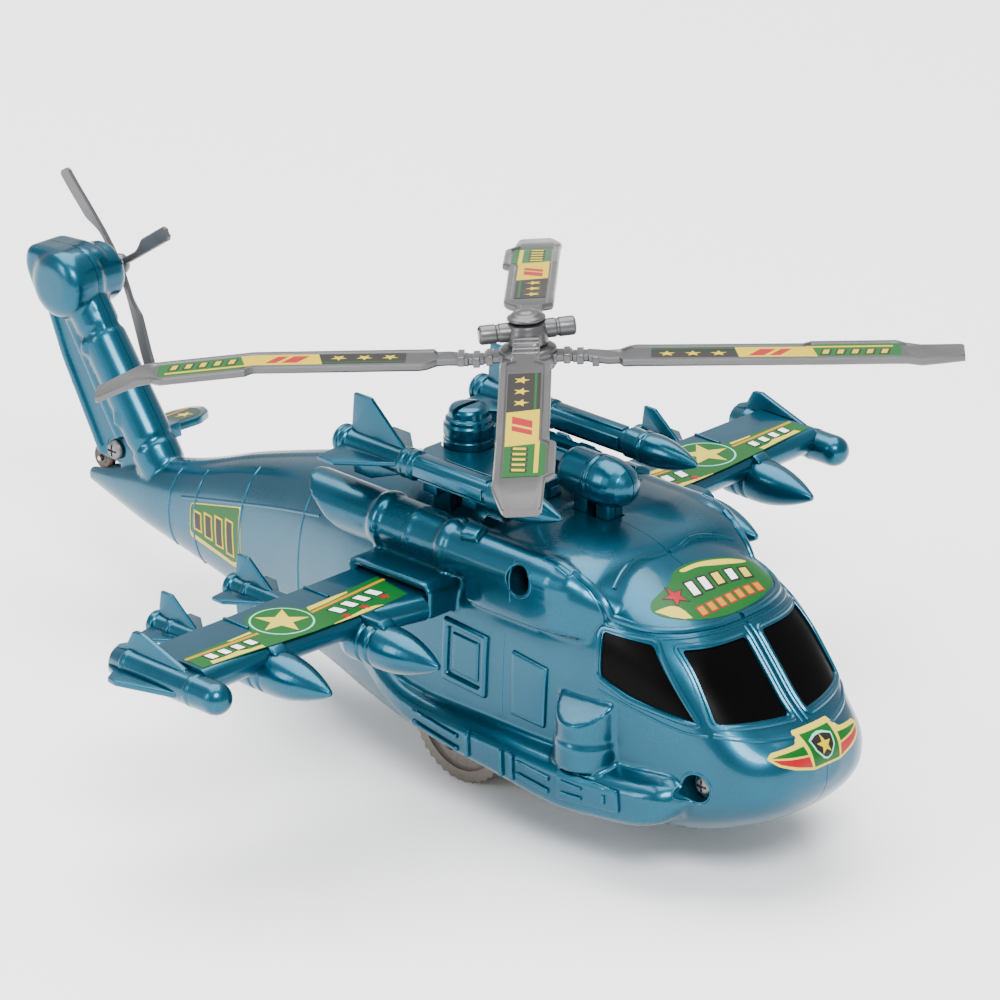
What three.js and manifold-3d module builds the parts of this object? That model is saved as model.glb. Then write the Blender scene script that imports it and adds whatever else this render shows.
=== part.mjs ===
// Friction-drive toy helicopter: two moulded body halves, plug-in wings, roof rack, rotors and motor.
// Millimetres. +X is port, +Y runs to the tail, +Z is up. Shapes are drawn from the rotor hub,
// and the finished group is moved so that it stands on z = 0 with its middle at y = 0.
import * as THREE from 'three';
import { mergeVertices } from 'three/addons/utils/BufferGeometryUtils.js';
import Module from 'manifold-3d';

const wasm = await Module();
wasm.setup();

// ---- driving dimensions ----
const HUB_HEIGHT = 118.4;
const HUB_TO_MIDDLE = 46.25;
const GAP = 0.3;
const WALL = 1.7;
const ROUND = 16;
const HULL_POINTS = 24;
const HOLLOW_POINTS = 16;

const ROTOR_RADIUS = 110;
const ROTOR_TILT = 4.8;
const ROTOR_PHASE = 42.75;
const MAST_RADIUS = 1.5;

const WHEEL = { y: 7.1, z: -101.2, radius: 17.2, width: 4.2, x: 15.6, teeth: 40 };
const GEAR_MODULE = 0.88;
const BIG_TEETH = 24;
const SMALL_TEETH = 8;
const MOTOR_HALF_WIDTH = 11.5;

const DECK_Z = -39.5;
const RACK_Z = -38.2;
const WING = { top: -55.8, nose: 3.4, trailing: 22, root: 42, tip: 112, tenon: 5.5 };
const TORPEDO = { x: 113.4, z: -61, nose: -8.2, tail: 31, radius: 4.2 };
const TOP_MISSILE = { x: 24.8, z: -30.6, tip: -36, tail: 42.3 };
const TAIL_HUB = { x: 16, y: 170.7, z: -27.4, radius: 29.6, droop: 4.2, phase: 58 };
const TAIL_WHEEL = { y: 160.3, z: -76.2, radius: 3.7, width: 2.6 };
const SCREWS = {
  side: { y: -29.6, z: -46.4, depth: 27 },
  nose: { y: -83.2, z: -88.6, depth: 22 },
  tail: { y: 152.6, z: -71.2, depth: 2.6 },
};

// Hull sections: y, half width, top, widest height, bottom, roundness above and below.
const HULL = [
  [-103.4, 5, -81, -85, -88.6, 2, 2],
  [-102.2, 12, -78.8, -85.5, -91.8, 2.2, 2.2],
  [-99.8, 17, -76.6, -86, -95, 2.4, 2.4],
  [-96, 21, -74.4, -86, -98.4, 2.5, 2.5],
  [-91, 23.7, -70.4, -86, -101.4, 2.7, 2.6],
  [-84, 25.8, -62.6, -86, -104.4, 3.2, 2.8],
  [-77, 27.2, -55.2, -85, -106.6, 3.5, 3],
  [-69, 28.6, -50.6, -83, -107.9, 3.8, 3.2],
  [-60, 29.8, -47, -81, -109, 3.9, 3.4],
  [-53, 30.6, -44.6, -80, -109.8, 3.7, 3.5],
  [-43, 31.1, -41.6, -79, -110.4, 3.4, 3.5],
  [-30, 31.5, -39.4, -78, -111, 3.1, 3.6],
  [0, 31.5, DECK_Z, -76, -110.8, 3, 3.5],
  [20, 30.6, -39.9, -76, -108.6, 2.8, 3.3],
  [36, 28, -41.8, -76, -106.4, 2.7, 3.1],
  [52, 24.2, -45, -76, -104, 2.6, 2.9],
  [75, 18.6, -51.2, -76.5, -101, 2.5, 2.7],
  [100, 13.4, -58.8, -78, -96.2, 2.4, 2.5],
  [122, 9.6, -66.8, -80, -92.8, 2.3, 2.4],
  [140, 7, -71.5, -80.5, -90.2, 2.2, 2.2],
  [156, 4, -77, -81.5, -86.6, 2, 2],
  [165.6, 1.6, -80.6, -82.4, -84.4, 2, 2],
];

// Lower side sponson: y, outer x, top, bottom.
const SPONSON = [
  [-67, 33, -94, -99],
  [-61, 36.8, -91.4, -103],
  [-46, 37.8, -90, -104.6],
  [-25, 37.4, -89.2, -102.6],
  [0, 36.4, -87.6, -99.4],
  [20, 33.6, -84.5, -94.5],
  [32, 28.5, -82.5, -90.5],
];

// ---- materials ----
const plastic = (color, roughness, metalness) =>
  () => new THREE.MeshStandardMaterial({ color, roughness, metalness });
const tealPlastic = plastic(0x2b7f9e, 0.32, 0.45);
const greyPlastic = plastic(0x8d8f92, 0.42, 0.5);
const blackPlastic = plastic(0x050505, 0.12, 0);
const wheelPlastic = plastic(0x8a8682, 0.6, 0);
const whitePlastic = plastic(0xe8e6dc, 0.5, 0);
const brownPlastic = plastic(0x5a4a44, 0.5, 0);
const steel = plastic(0xb9bcc0, 0.3, 1);

// ---- solids ----
// A closed solid from any geometry whose surface closes; winding is turned to face outwards.
function solid(geometry) {
  const bare = geometry.index ? geometry.toNonIndexed() : geometry.clone();
  bare.deleteAttribute('normal');
  bare.deleteAttribute('uv');
  const merged = mergeVertices(bare, 1e-4);
  const position = merged.attributes.position.array;
  const triangles = [];
  let volume = 0;
  const corner = (i) => new THREE.Vector3().fromArray(position, 3 * i);
  for (let i = 0; i < merged.index.count; i += 3) {
    const [a, b, c] = merged.index.array.slice(i, i + 3);
    if (a !== b && b !== c && c !== a) {
      triangles.push(a, b, c);
      volume += corner(a).dot(corner(b).cross(corner(c)));
    }
  }
  if (volume < 0) {
    for (let i = 0; i < triangles.length; i += 3) {
      [triangles[i], triangles[i + 1]] = [triangles[i + 1], triangles[i]];
    }
  }
  return new wasm.Manifold(new wasm.Mesh({
    numProp: 3,
    vertProperties: new Float32Array(position),
    triVerts: new Uint32Array(triangles),
  }));
}

function join(...solids) {
  return solids.reduce((sum, next) => sum.add(next));
}

function cut(body, ...tools) {
  return tools.reduce((rest, tool) => rest.subtract(tool), body);
}

// A skin over rings of equal point counts, closed at both ends by fans.
function loft(rings) {
  const count = rings[0].length;
  const points = rings.flat();
  const index = [];
  for (let r = 0; r + 1 < rings.length; r += 1) {
    for (let k = 0; k < count; k += 1) {
      const a = r * count + k;
      const b = r * count + ((k + 1) % count);
      index.push(a, b, a + count, b, b + count, a + count);
    }
  }
  const addCap = (first, flip) => {
    const centre = new THREE.Vector3();
    for (let k = 0; k < count; k += 1) {
      centre.addScaledVector(points[first + k], 1 / count);
    }
    points.push(centre);
    for (let k = 0; k < count; k += 1) {
      const pair = [first + k, first + ((k + 1) % count)];
      if (flip) pair.reverse();
      index.push(pair[0], points.length - 1, pair[1]);
    }
  };
  addCap(0, false);
  addCap((rings.length - 1) * count, true);
  const geometry = new THREE.BufferGeometry().setFromPoints(points);
  geometry.setIndex(index);
  return solid(geometry);
}

function box(x0, x1, y0, y1, z0, z1) {
  const geometry = new THREE.BoxGeometry(x1 - x0, y1 - y0, z1 - z0);
  return solid(geometry.translate((x0 + x1) / 2, (y0 + y1) / 2, (z0 + z1) / 2));
}

// Profile points are [radius, distance along the axis]; the axis leaves `at` along `axis`.
function turned(profile, axis, at, segments = ROUND) {
  const points = profile.map(([radius, along]) => new THREE.Vector2(radius, along));
  const geometry = new THREE.LatheGeometry(points, segments);
  const turn = new THREE.Quaternion().setFromUnitVectors(new THREE.Vector3(0, 1, 0), axis);
  return solid(geometry.applyQuaternion(turn).translate(at.x, at.y, at.z));
}

const X_AXIS = new THREE.Vector3(1, 0, 0);
const Y_AXIS = new THREE.Vector3(0, 1, 0);
const Z_AXIS = new THREE.Vector3(0, 0, 1);
const v3 = (x, y, z) => new THREE.Vector3(x, y, z);

function rod(radius, start, end, axis, at, segments = ROUND) {
  return turned([[0, start], [radius, start], [radius, end], [0, end]], axis, at, segments);
}

// An outline in the plane across X, given as [y, z] points, made into a slab from x0 to x1.
function slabX(outline, x0, x1) {
  const shape = new THREE.Shape(outline.map(([y, z]) => new THREE.Vector2(y, z)));
  const geometry = new THREE.ExtrudeGeometry(shape, { depth: x1 - x0, bevelEnabled: false });
  geometry.rotateY(Math.PI / 2).rotateX(Math.PI / 2);
  return solid(geometry.translate(x0, 0, 0));
}

// An outline in the plane across Y, given as [x, z] points, made into a slab from y0 to y1.
function slabY(outline, y0, y1) {
  const shape = new THREE.Shape(outline.map(([x, z]) => new THREE.Vector2(x, z)));
  const geometry = new THREE.ExtrudeGeometry(shape, { depth: y1 - y0, bevelEnabled: false });
  return solid(geometry.rotateX(Math.PI / 2).translate(0, y1, 0));
}

// An outline in the plane across Z, given as [x, y] points, made into a slab from z0 to z1.
function slabZ(outline, z0, z1) {
  const shape = new THREE.Shape(outline.map(([x, y]) => new THREE.Vector2(x, y)));
  const geometry = new THREE.ExtrudeGeometry(shape, { depth: z1 - z0, bevelEnabled: false });
  return solid(geometry.translate(0, 0, z0));
}

const mirrorX = (body) => body.mirror([1, 0, 0]);

// ---- the finished group ----
const helicopter = new THREE.Group();
helicopter.position.set(0, -HUB_TO_MIDDLE, HUB_HEIGHT);

function piece(name, body, material, parent = helicopter) {
  const mesh = body.getMesh();
  const geometry = new THREE.BufferGeometry();
  geometry.setAttribute('position', new THREE.BufferAttribute(mesh.vertProperties, 3));
  geometry.setIndex(new THREE.BufferAttribute(mesh.triVerts, 1));
  geometry.computeVertexNormals();
  const node = new THREE.Mesh(geometry, material());
  node.name = name;
  parent.add(node);
}

// ---- hull ----
function hullRing([y, width, top, middle, bottom, above, below], inset, count) {
  const ring = [];
  for (let k = 0; k < count; k += 1) {
    const angle = (2 * Math.PI * (k + 0.5)) / count;
    const c = Math.cos(angle);
    const s = Math.sin(angle);
    const power = 2 / (s >= 0 ? above : below);
    const reach = s >= 0 ? top - inset - middle : middle - bottom - inset;
    const x = (width - inset) * Math.sign(c) * Math.abs(c) ** power;
    ring.push(v3(x, y, middle + reach * Math.sign(s) * Math.abs(s) ** power));
  }
  return ring;
}

const hullSkin = loft(HULL.map((section) => hullRing(section, 0, HULL_POINTS)));
const hollowSections = HULL.filter(([, width]) => width > 9);
const hullHollow = loft(hollowSections.map((section) => hullRing(section, WALL, HOLLOW_POINTS)));

// Engine nacelle: a drum with ring steps, a domed front and a slanted rear.
function nacelle() {
  const at = v3(27, 0, -47);
  const drum = turned([
    [0, -46], [3.4, -44.6], [5.6, -41.5], [6.9, -36], [7, -28], [6.7, -27.6], [6.7, -2.4], [7, -2],
    [7, 21.6], [6.7, 22], [6.7, 30], [7, 30.4], [7, 50], [0, 50],
  ], Y_AXIS, at);
  const slant = slabX([[51.5, -38.5], [29.5, -58.5], [29.5, -75], [75, -75], [75, -38.5]], 15, 40);
  return cut(drum, slant);
}

function sponson() {
  const rings = SPONSON.map(([y, x, top, bottom]) => {
    const lip = 1.6;
    const outline = [[24, top + 3], [x - 4, top], [x - lip, top - 0.6], [x, top - lip - 1]];
    outline.push([x, bottom + lip], [x - lip, bottom], [24, bottom]);
    return outline.map(([px, pz]) => v3(px, y, pz));
  });
  return loft(rings);
}

// Air scoop on the lower side: an upright half drum whose top slopes outwards.
function scoop() {
  const drum = rod(8.7, -88, -68, Z_AXIS, v3(30, -50.5, 0), 20);
  const slope = slabY([[20, -60], [45, -60], [45, -82.4], [28, -71], [20, -71]], -62, -38);
  return cut(drum, slope).intersect(box(26, 40, -62, -38, -90, -60));
}

function wingSocket() {
  const block = box(26, 41, -5.5, 24, -62.4, -52.8);
  const pocket = box(41 - WING.tenon - GAP, 42, -3.8, 20.8, -61, -54.6);
  return cut(block, pocket);
}

// Tail fin: a tube-like front edge leaning back, and a web with raised rails behind it.
const FIN_FOOT = v3(0, 139, -70);
const FIN_HEAD = v3(0, 166, -33);
function finTube() {
  const axis = FIN_HEAD.clone().sub(FIN_FOOT);
  const length = axis.length();
  const profile = [
    [0, -16], [6.4, -14], [6.6, 3], [6, 3.4], [6, 5], [6.4, 5.4], [5.8, length - 9], [5.3, length - 8.6],
    [5.3, length - 7], [5.7, length - 6.6], [5.9, length + 2], [0, length + 2],
  ];
  return turned(profile, axis.normalize(), FIN_FOOT);
}

const FIN_WEB = [[142, -76], [158.6, -74.6], [164.6, -65.6], [173.2, -49.4], [179, -35.4],
  [183.6, -25.6], [183.4, -22.4], [180.4, -19.4], [175, -18.4], [160, -31], [147, -52]];
const FIN_RAILS = [
  [[157.6, -73], [158.8, -74.4], [173.3, -49.4], [183.8, -25], [181.8, -24.6], [171.4, -48.6]],
  [[149.6, -67], [151.4, -68.2], [172.4, -33], [170.6, -31.6]],
];

function tailFin() {
  const web = slabX(FIN_WEB, -3, 3);
  const rails = FIN_RAILS.map((rail) => slabX(rail, -3.8, 3.8));
  const drum = turned([
    [0, -9.5], [4, -9.3], [7.2, -8.2], [9, -6], [9.6, -3], [9.6, 2], [8.6, 3], [8.4, 10], [7.4, 11.6],
    [3.6, 12], [3.6, 12.6], [0, 12.6],
  ], X_AXIS, v3(0, TAIL_HUB.y, TAIL_HUB.z));
  return join(finTube(), web, ...rails, drum);
}

// ---- windows: openings in the front view and in the side view ----
const WINDSHIELD = [[2.9, -56.2], [21.2, -56], [22, -71.6], [2.9, -73]];
const SIDE_WINDOW = [[-53, -54.6], [-79, -56.2], [-84, -71.4], [-78, -71.6], [-54, -66.8]];

function shrink(outline, by) {
  const middle = outline.reduce(([a, b], [p, q]) => [a + p / outline.length, b + q / outline.length],
    [0, 0]);
  return outline.map(([p, q]) => {
    const reach = Math.hypot(p - middle[0], q - middle[1]);
    const keep = (reach - by) / reach;
    return [middle[0] + (p - middle[0]) * keep, middle[1] + (q - middle[1]) * keep];
  });
}

const frontCut = (by) => slabY(shrink(WINDSHIELD, by), -100, -66);
const sideCut = (by) => slabX(shrink(SIDE_WINDOW, by), 22.6, 40);

// ---- body halves ----
function boss(screw, radius) {
  return rod(radius, 0, 40, X_AXIS, v3(0, screw.y, screw.z));
}

const portFeatures = [nacelle(), sponson(), scoop(), wingSocket()];
const outside = join(hullSkin, ...portFeatures, ...portFeatures.map(mirrorX), tailFin());
const emptied = cut(outside, hullHollow);
const bosses = [boss(SCREWS.side, 5.4), boss(SCREWS.nose, 5.4)].map((one) => join(one, mirrorX(one)));
const bossed = join(emptied, ...bosses.map((one) => one.intersect(hullSkin)));

const mastAxis = Z_AXIS.clone().applyAxisAngle(X_AXIS, (-ROTOR_TILT * Math.PI) / 180);
const mastBore = rod(MAST_RADIUS + 0.4, -70, 0, mastAxis, v3(0, 0, 0));
const mastBearing = rod(5, -66, -38, mastAxis, v3(0, 0, 0));
const wheelSlot = box(WHEEL.x - 3.4, WHEEL.x + 3.4, WHEEL.y - 19, WHEEL.y + 19, -125, WHEEL.z + 19);
const bellyHatch = box(-MOTOR_HALF_WIDTH - 0.6, MOTOR_HALF_WIDTH + 0.6, -36, 26, -125, -104);
const tailNotch = box(-TAIL_WHEEL.width / 2 - 0.5, TAIL_WHEEL.width / 2 + 0.5,
  TAIL_WHEEL.y - 4.6, 190, TAIL_WHEEL.z - 4.6, TAIL_WHEEL.z + 4.4);
const tailPinHole = rod(0.9, -6, 6, X_AXIS, v3(0, TAIL_WHEEL.y, TAIL_WHEEL.z), 12);
const tailShaftBore = rod(1.3, -4, 20, X_AXIS, v3(0, TAIL_HUB.y, TAIL_HUB.z), 16);
const RACK_PEG_X = 18.5;
const rackPegHoles = [-1, 1].map((side) =>
  box(side * RACK_PEG_X - 1.8, side * RACK_PEG_X + 1.8, 7.7, 14.3, -50, -38));
const podSlot = box(-3.3, 3.3, -31.3, -18.7, -44, -36);

function screwHoles(screw) {
  const at = v3(0, screw.y, screw.z);
  const counterbore = rod(3.7, -45, -screw.depth, X_AXIS, at, 24);
  const through = rod(1.6, -45, 1, X_AXIS, at, 16);
  const blind = rod(1.5, 0, Math.min(screw.depth, 9) + 1, X_AXIS, at, 16);
  return [counterbore, through, blind];
}

const allScrewHoles = Object.values(SCREWS).flatMap(screwHoles);
const shell = cut(join(bossed, mastBearing.intersect(hullSkin)),
  frontCut(0), mirrorX(frontCut(0)), sideCut(0), mirrorX(sideCut(0)), mastBore, wheelSlot,
  mirrorX(wheelSlot), bellyHatch, tailNotch, tailPinHole, tailShaftBore, ...rackPegHoles, podSlot,
  ...allScrewHoles);
const portSide = box(GAP / 2, 60, -120, 200, -125, 20);
piece('body_shell_starboard', shell.intersect(mirrorX(portSide)), tealPlastic);
piece('body_shell_port', shell.intersect(portSide), tealPlastic);

const paneSkin = loft(HULL.slice(1, 12).map((section) => hullRing(section, 0.5, HULL_POINTS)));
const paneBack = loft(HULL.slice(1, 12).map((section) => hullRing(section, 2, HULL_POINTS)));
const paneLayer = cut(paneSkin, paneBack);
const windshield = paneLayer.intersect(frontCut(GAP));
const sideWindow = paneLayer.intersect(sideCut(GAP));
piece('windshield_starboard', mirrorX(windshield), blackPlastic);
piece('windshield_port', windshield, blackPlastic);
piece('side_window_starboard', mirrorX(sideWindow), blackPlastic);
piece('side_window_port', sideWindow, blackPlastic);

// ---- body screws: a pan head, a shank and a cross recess ----
for (const [place, screw] of Object.entries(SCREWS)) {
  const head = -screw.depth - GAP;
  const shankEnd = Math.min(screw.depth, 9) - 0.6;
  const body = turned([
    [0, head - 1.9], [1.8, head - 1.7], [2.8, head - 0.8], [2.8, head], [1.2, head], [1.2, shankEnd - 1.4],
    [0, shankEnd],
  ], X_AXIS, v3(0, screw.y, screw.z), 12);
  const slots = [[1.7, 0.35], [0.35, 1.7]].map(([dy, dz]) =>
    box(head - 3, head - 1, screw.y - dy, screw.y + dy, screw.z - dz, screw.z + dz));
  piece(`screw_${place}`, cut(body, ...slots), steel);
}

// ---- finned stores ----
function ogive(tip, length, radius, steps) {
  const points = [[0, tip], [radius * 0.12, tip + 0.2]];
  for (let k = 1; k <= steps; k += 1) {
    const t = k / steps;
    const swell = 0.16 + 0.84 * Math.sin((t * Math.PI) / 2) ** 0.85;
    points.push([radius * swell, tip + 0.6 + (length - 0.6) * t]);
  }
  return points;
}

// Four fins round an axis parallel to Y: rear edge, reach, root length, and reach of the lowest fin.
function fins(at, rear, inner, outer, root, lowest) {
  const half = 0.55;
  return [0, 90, 180, 270].map((turn) => {
    const reach = turn === 180 ? lowest : outer;
    const plate = [[rear - root, inner - 1], [rear - root, inner], [rear - root * 0.36, reach],
      [rear - 0.8, reach], [rear, inner + 1], [rear, inner - 1]];
    return slabX(plate, -half, half).rotate([0, turn, 0]).translate([at.x, at.y, at.z]);
  });
}

function underwingMissile(x, tip, tail) {
  const at = v3(x, 0, -63.2);
  const body = turned([
    ...ogive(tip, 18, 5.9, 3), [5.9, tip + 20], [5.4, tip + 20.6], [5.4, tip + 22.4], [5.9, tip + 23],
    [5.9, tip + 28], [3, tip + 34], [3, 24], [3.5, 24.6], [3.5, 26.4], [3, 27], [3, tail - 3.4],
    [3.5, tail - 3], [3.4, tail - 0.6], [0, tail],
  ], Y_AXIS, at, 12);
  return join(body, ...fins(at, tail - 3, 3, 9.6, 13, 9.6));
}

// ---- wings ----
function wingSection(x, leading) {
  const middle = WING.top - WING.nose;
  const ring = [];
  for (let k = 0; k <= 5; k += 1) {
    const angle = Math.PI / 2 + (Math.PI * k) / 5;
    ring.push([leading + WING.nose + WING.nose * Math.cos(angle), middle + WING.nose * Math.sin(angle)]);
  }
  ring.push([leading + 7, middle - WING.nose], [leading + 8.6, WING.top - 4.6]);
  ring.push([WING.trailing - 1, WING.top - 3.4], [WING.trailing, WING.top - 2.8], [WING.trailing, WING.top]);
  return ring.map(([y, z]) => v3(x, y, z));
}

function portWing() {
  const plan = [[WING.root, -6.6], [50, -4.6], [60, -2.2], [72, -0.6], [WING.tip, 0]];
  const plate = loft(plan.map(([x, leading]) => wingSection(x, leading)));
  const tenon = box(41 - WING.tenon, 44, -3.5, 20.5, -60.7, -55.9);
  const at = v3(TORPEDO.x, 0, TORPEDO.z);
  const r = TORPEDO.radius;
  const torpedo = turned([
    [0, TORPEDO.nose], [r * 0.5, TORPEDO.nose + 0.6], [r * 0.86, TORPEDO.nose + 2], [r, TORPEDO.nose + r],
    [r, TORPEDO.tail - 4], [r * 0.8, TORPEDO.tail], [0, TORPEDO.tail],
  ], Y_AXIS, at, 14);
  const fin = [[5.5, 3.4], [6.5, 4.6], [22, 9.6], [25, 9.2], [27, 5.6], [30, 4.4], [32, 2.6], [32, 0],
    [5.5, 0]];
  const topFin = slabX(fin, -0.7, 0.7).translate([at.x, 0, at.z]);
  const sideFin = slabX(fin, -0.7, 0.7).rotate([0, 90, 0]).translate([at.x, 0, at.z - 1]);
  return join(plate, tenon, torpedo, topFin, sideFin, underwingMissile(58.5, -26.4, 49.4),
    underwingMissile(88.5, -18.8, 45.6));
}

const wing = portWing();
piece('wing_starboard', mirrorX(wing), tealPlastic);
piece('wing_port', wing, tealPlastic);

// ---- horizontal stabiliser, port side of the fin ----
const STABILISER = [[0, -7], [13, -8], [19, -4.6], [22, 0.6], [20.6, 4.6], [16, 7], [0, 9]];
const stabiliserBlank = join(slabZ(STABILISER, -1.1, 1.1), box(0, 5.5, -8, 19, -2.4, 1.6));
const stabiliserPlate = stabiliserBlank.rotate([-12, 0, 0]).translate([3.3, 147, -66]);
piece('stabiliser_port', cut(stabiliserPlate, outside.translate([GAP, 0, 0])), tealPlastic);

// ---- roof rack and its stores ----
function topMissile() {
  const { x, z, tip, tail } = TOP_MISSILE;
  const body = turned([
    ...ogive(tip, 15, 4.3, 3), [4.3, tip + 18], [3.9, tip + 18.6], [4.1, tip + 23], [3.1, tip + 23.6],
    [3.1, 14], [4, 14.6], [4, 18.4], [3.6, 19], [3.6, tail - 4], [4.1, tail - 3.6], [4.1, tail - 1],
    [3.4, tail], [0, tail],
  ], Y_AXIS, v3(x, 0, z), 12);
  return join(body, ...fins(v3(x, 0, z), tail - 4.4, 3.4, 13.9, 19, 8));
}
const missile = topMissile();
const rackArms = [-1, 1].flatMap((side) => [-4, 10].map((y) =>
  box(Math.min(side * 16, side * 22.8), Math.max(side * 16, side * 22.8), y, y + 5, RACK_Z, RACK_Z + 5)));
const missileClearance = [-1, 1].map((side) =>
  rod(4.6 + GAP, -40, 45, Y_AXIS, v3(side * TOP_MISSILE.x, 0, TOP_MISSILE.z)));
const RACK_PLAN = [[-20, -8], [-8, -12], [8, -12], [20, -8], [20, 16], [11, 27], [-11, 27], [-20, 16]];
const rackPlate = slabZ(RACK_PLAN, RACK_Z + 2.9, RACK_Z + 5);
const rackPegs = [-1, 1].map((side) =>
  box(side * RACK_PEG_X - 1.5, side * RACK_PEG_X + 1.5, 8, 14, DECK_Z - 5.5, RACK_Z + 4));
const mastHole = rod(7.5, -60, 0, mastAxis, v3(0, 0, 0));
const turretWell = rod(6.8 + GAP, RACK_Z, RACK_Z + 9, Z_AXIS, v3(0, 21, 0));
const rackFrame = cut(join(rackPlate, ...rackArms), mastHole, turretWell, ...missileClearance,
  hullSkin.translate([0, 0, GAP]));
piece('weapons_rack', join(rackFrame, ...rackPegs), tealPlastic);
piece('roof_missile_starboard', mirrorX(missile), tealPlastic);
piece('roof_missile_port', missile, tealPlastic);

const turretBody = turned([
  [0, DECK_Z - 2.6], [6.6, DECK_Z - 2.6], [6.6, -27.4], [6.1, -26.8], [6.1, -26], [5.2, -25.4],
  [5.2, -23.6], [4.4, -22.8], [0, -22.4],
], Z_AXIS, v3(0, 21, 0));
const turretSlot = box(-7, 7, 20, 22, -24.2, -20);
piece('roof_turret', cut(turretBody, turretSlot, hullSkin.translate([0, 0, GAP])), tealPlastic);

function podHalf() {
  const shape = turned([
    [0, -37.2], [2.6, -36.8], [4.8, -34.8], [6.1, -31.6], [6.5, -28], [6.5, -26.4], [6.1, -26], [6.1, -17],
    [5, -15], [0, -14.4],
  ], Y_AXIS, v3(0, 0, -29.8));
  const pylon = box(-3, 3, -31, -19, DECK_Z - 3, -30);
  return join(shape, pylon).intersect(box(GAP / 2, 20, -60, 20, -60, 0));
}
const pod = podHalf();
piece('nose_pod_starboard', mirrorX(pod), tealPlastic);
piece('nose_pod_port', pod, tealPlastic);

// ---- mast and main rotor, drawn upright and leaned back together ----
const rotorTilt = new THREE.Group();
rotorTilt.rotation.x = (-ROTOR_TILT * Math.PI) / 180;
helicopter.add(rotorTilt);

const mastTube = cut(turned([[0, -42], [6.4, -42], [6.4, -36.8], [4.2, -35.4], [3.6, -7.2], [0, -7.2]],
  Z_AXIS, v3(0, 0, 0)), rod(MAST_RADIUS + 0.4, -44, 0, Z_AXIS, v3(0, 0, 0)));
const deckInMastFrame = hullSkin.rotate([ROTOR_TILT, 0, 0]).translate([0, 0, GAP]);
piece('mast_tube', cut(mastTube, deckInMastFrame), tealPlastic, rotorTilt);
piece('rotor_pin', rod(MAST_RADIUS, -56, 3.4, Z_AXIS, v3(0, 0, 0), 16), steel, rotorTilt);

// One blade along +X: a ribbed arm, the blade with its wider outer stretch, and a bent-down tip.
// The levels are the heights of its top at the arm, the root, the step, the fold and the tip.
function blade([arm, root, step, fold, tip]) {
  const R = ROTOR_RADIUS;
  const stations = [
    [3, -3.2, 3.2, arm], [11, -3, 3, arm], [11.3, -2.6, 2.6, arm - 0.4], [15, -2.6, 2.6, arm - 0.4],
    [15.3, -3, 3, arm - 0.4], [20, -3.4, 3.4, root], [23, -3.6, 3.6, root], [23.6, -6, 4.4, root],
    [26.6, -6.2, 6.8, root], [0.63 * R, -6.2, 6.8, step], [0.646 * R, -6.2, 8.6, step - 0.1],
    [0.85 * R, -6.2, 8.6, fold + 0.1], [0.866 * R, -6.2, 6.4, fold], [0.9 * R, -6.4, 6.2, fold - 0.6],
    [R, -3.4, 5.6, tip],
  ];
  const thickness = 2;
  return loft(stations.map(([u, right, left, z]) => [
    v3(u, right, z - thickness), v3(u, left, z - thickness), v3(u, left, z - 0.4), v3(u, left - 0.5, z),
    v3(u, right + 0.5, z), v3(u, right, z - 0.4),
  ]));
}

// Two crossed two-blade mouldings: the lower pair reaches left and right, the upper fore and aft.
const LOWER_LEVELS = [[-2.4, -2.3, -0.9, -2.4, -7], [-2.8, -3.9, -5.7, -6.7, -7.6]];
const UPPER_LEVELS = [[3, 2.8, -0.5, -3.4, -5.8], [3, 2.7, -2.6, -3.4, -6.4]];
const hubBore = rod(MAST_RADIUS + 0.4, -8, 3.8, Z_AXIS, v3(0, 0, 0), 16);
const capPocket = rod(2.2, 3.6, 9, Z_AXIS, v3(0, 0, 0));
const lowerDrum = turned([[0, -6.8], [6.4, -6.8], [7.4, -5], [7.4, -1.2], [5.4, -0.6], [0, -0.6]],
  Z_AXIS, v3(0, 0, 0));
const upperDrum = turned([[0, -0.3], [5.2, -0.3], [5.4, 3], [4.8, 5.2], [0, 5.2]], Z_AXIS, v3(0, 0, 0));
const TUBE_REACH = 12.4;
const crossTube = turned([
  [0, -TUBE_REACH], [2, -TUBE_REACH], [2.5, 0.5 - TUBE_REACH], [2.5, TUBE_REACH - 0.5],
  [2, TUBE_REACH], [0, TUBE_REACH],
], X_AXIS, v3(0, 0, 3.2), 14).rotate([0, 0, 102]);
const pair = (levels, turn) =>
  levels.map((level, k) => blade(level).rotate([0, 0, turn + 180 * k]));
const lowerRotor = cut(join(lowerDrum, ...pair(LOWER_LEVELS, 90)), hubBore);
const upperRotor = cut(join(upperDrum, crossTube, ...pair(UPPER_LEVELS, 0)), hubBore, capPocket);
piece('main_rotor_lower', lowerRotor.rotate([0, 0, ROTOR_PHASE]), greyPlastic, rotorTilt);
piece('main_rotor_upper', upperRotor.rotate([0, 0, ROTOR_PHASE]), greyPlastic, rotorTilt);
const capStem = turned([[0, 3.9], [1.9, 3.9], [1.9, 6], [5, 6], [4.8, 6.8], [3.4, 7.9], [1.5, 8.5], [0, 8.6]],
  Z_AXIS, v3(0, 0, 0));
piece('rotor_cap', capStem, greyPlastic, rotorTilt);

// ---- tail rotor: four paddles on a pin out of the port side of the gearbox ----
function paddle() {
  const stations = [[2, -1, 1, 0], [9.5, -1, 1, -0.8], [12.5, -1.8, 1, -1.3], [16, -3.1, 1, -1.9],
    [TAIL_HUB.radius - 1, -3.1, 1, 0.1 - TAIL_HUB.droop], [TAIL_HUB.radius, -2.2, 0.2, -TAIL_HUB.droop]];
  return loft(stations.map(([u, right, left, z]) =>
    [v3(u, right, z - 0.6), v3(u, left, z - 0.6), v3(u, left, z + 0.6), v3(u, right, z + 0.6)]));
}

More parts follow.
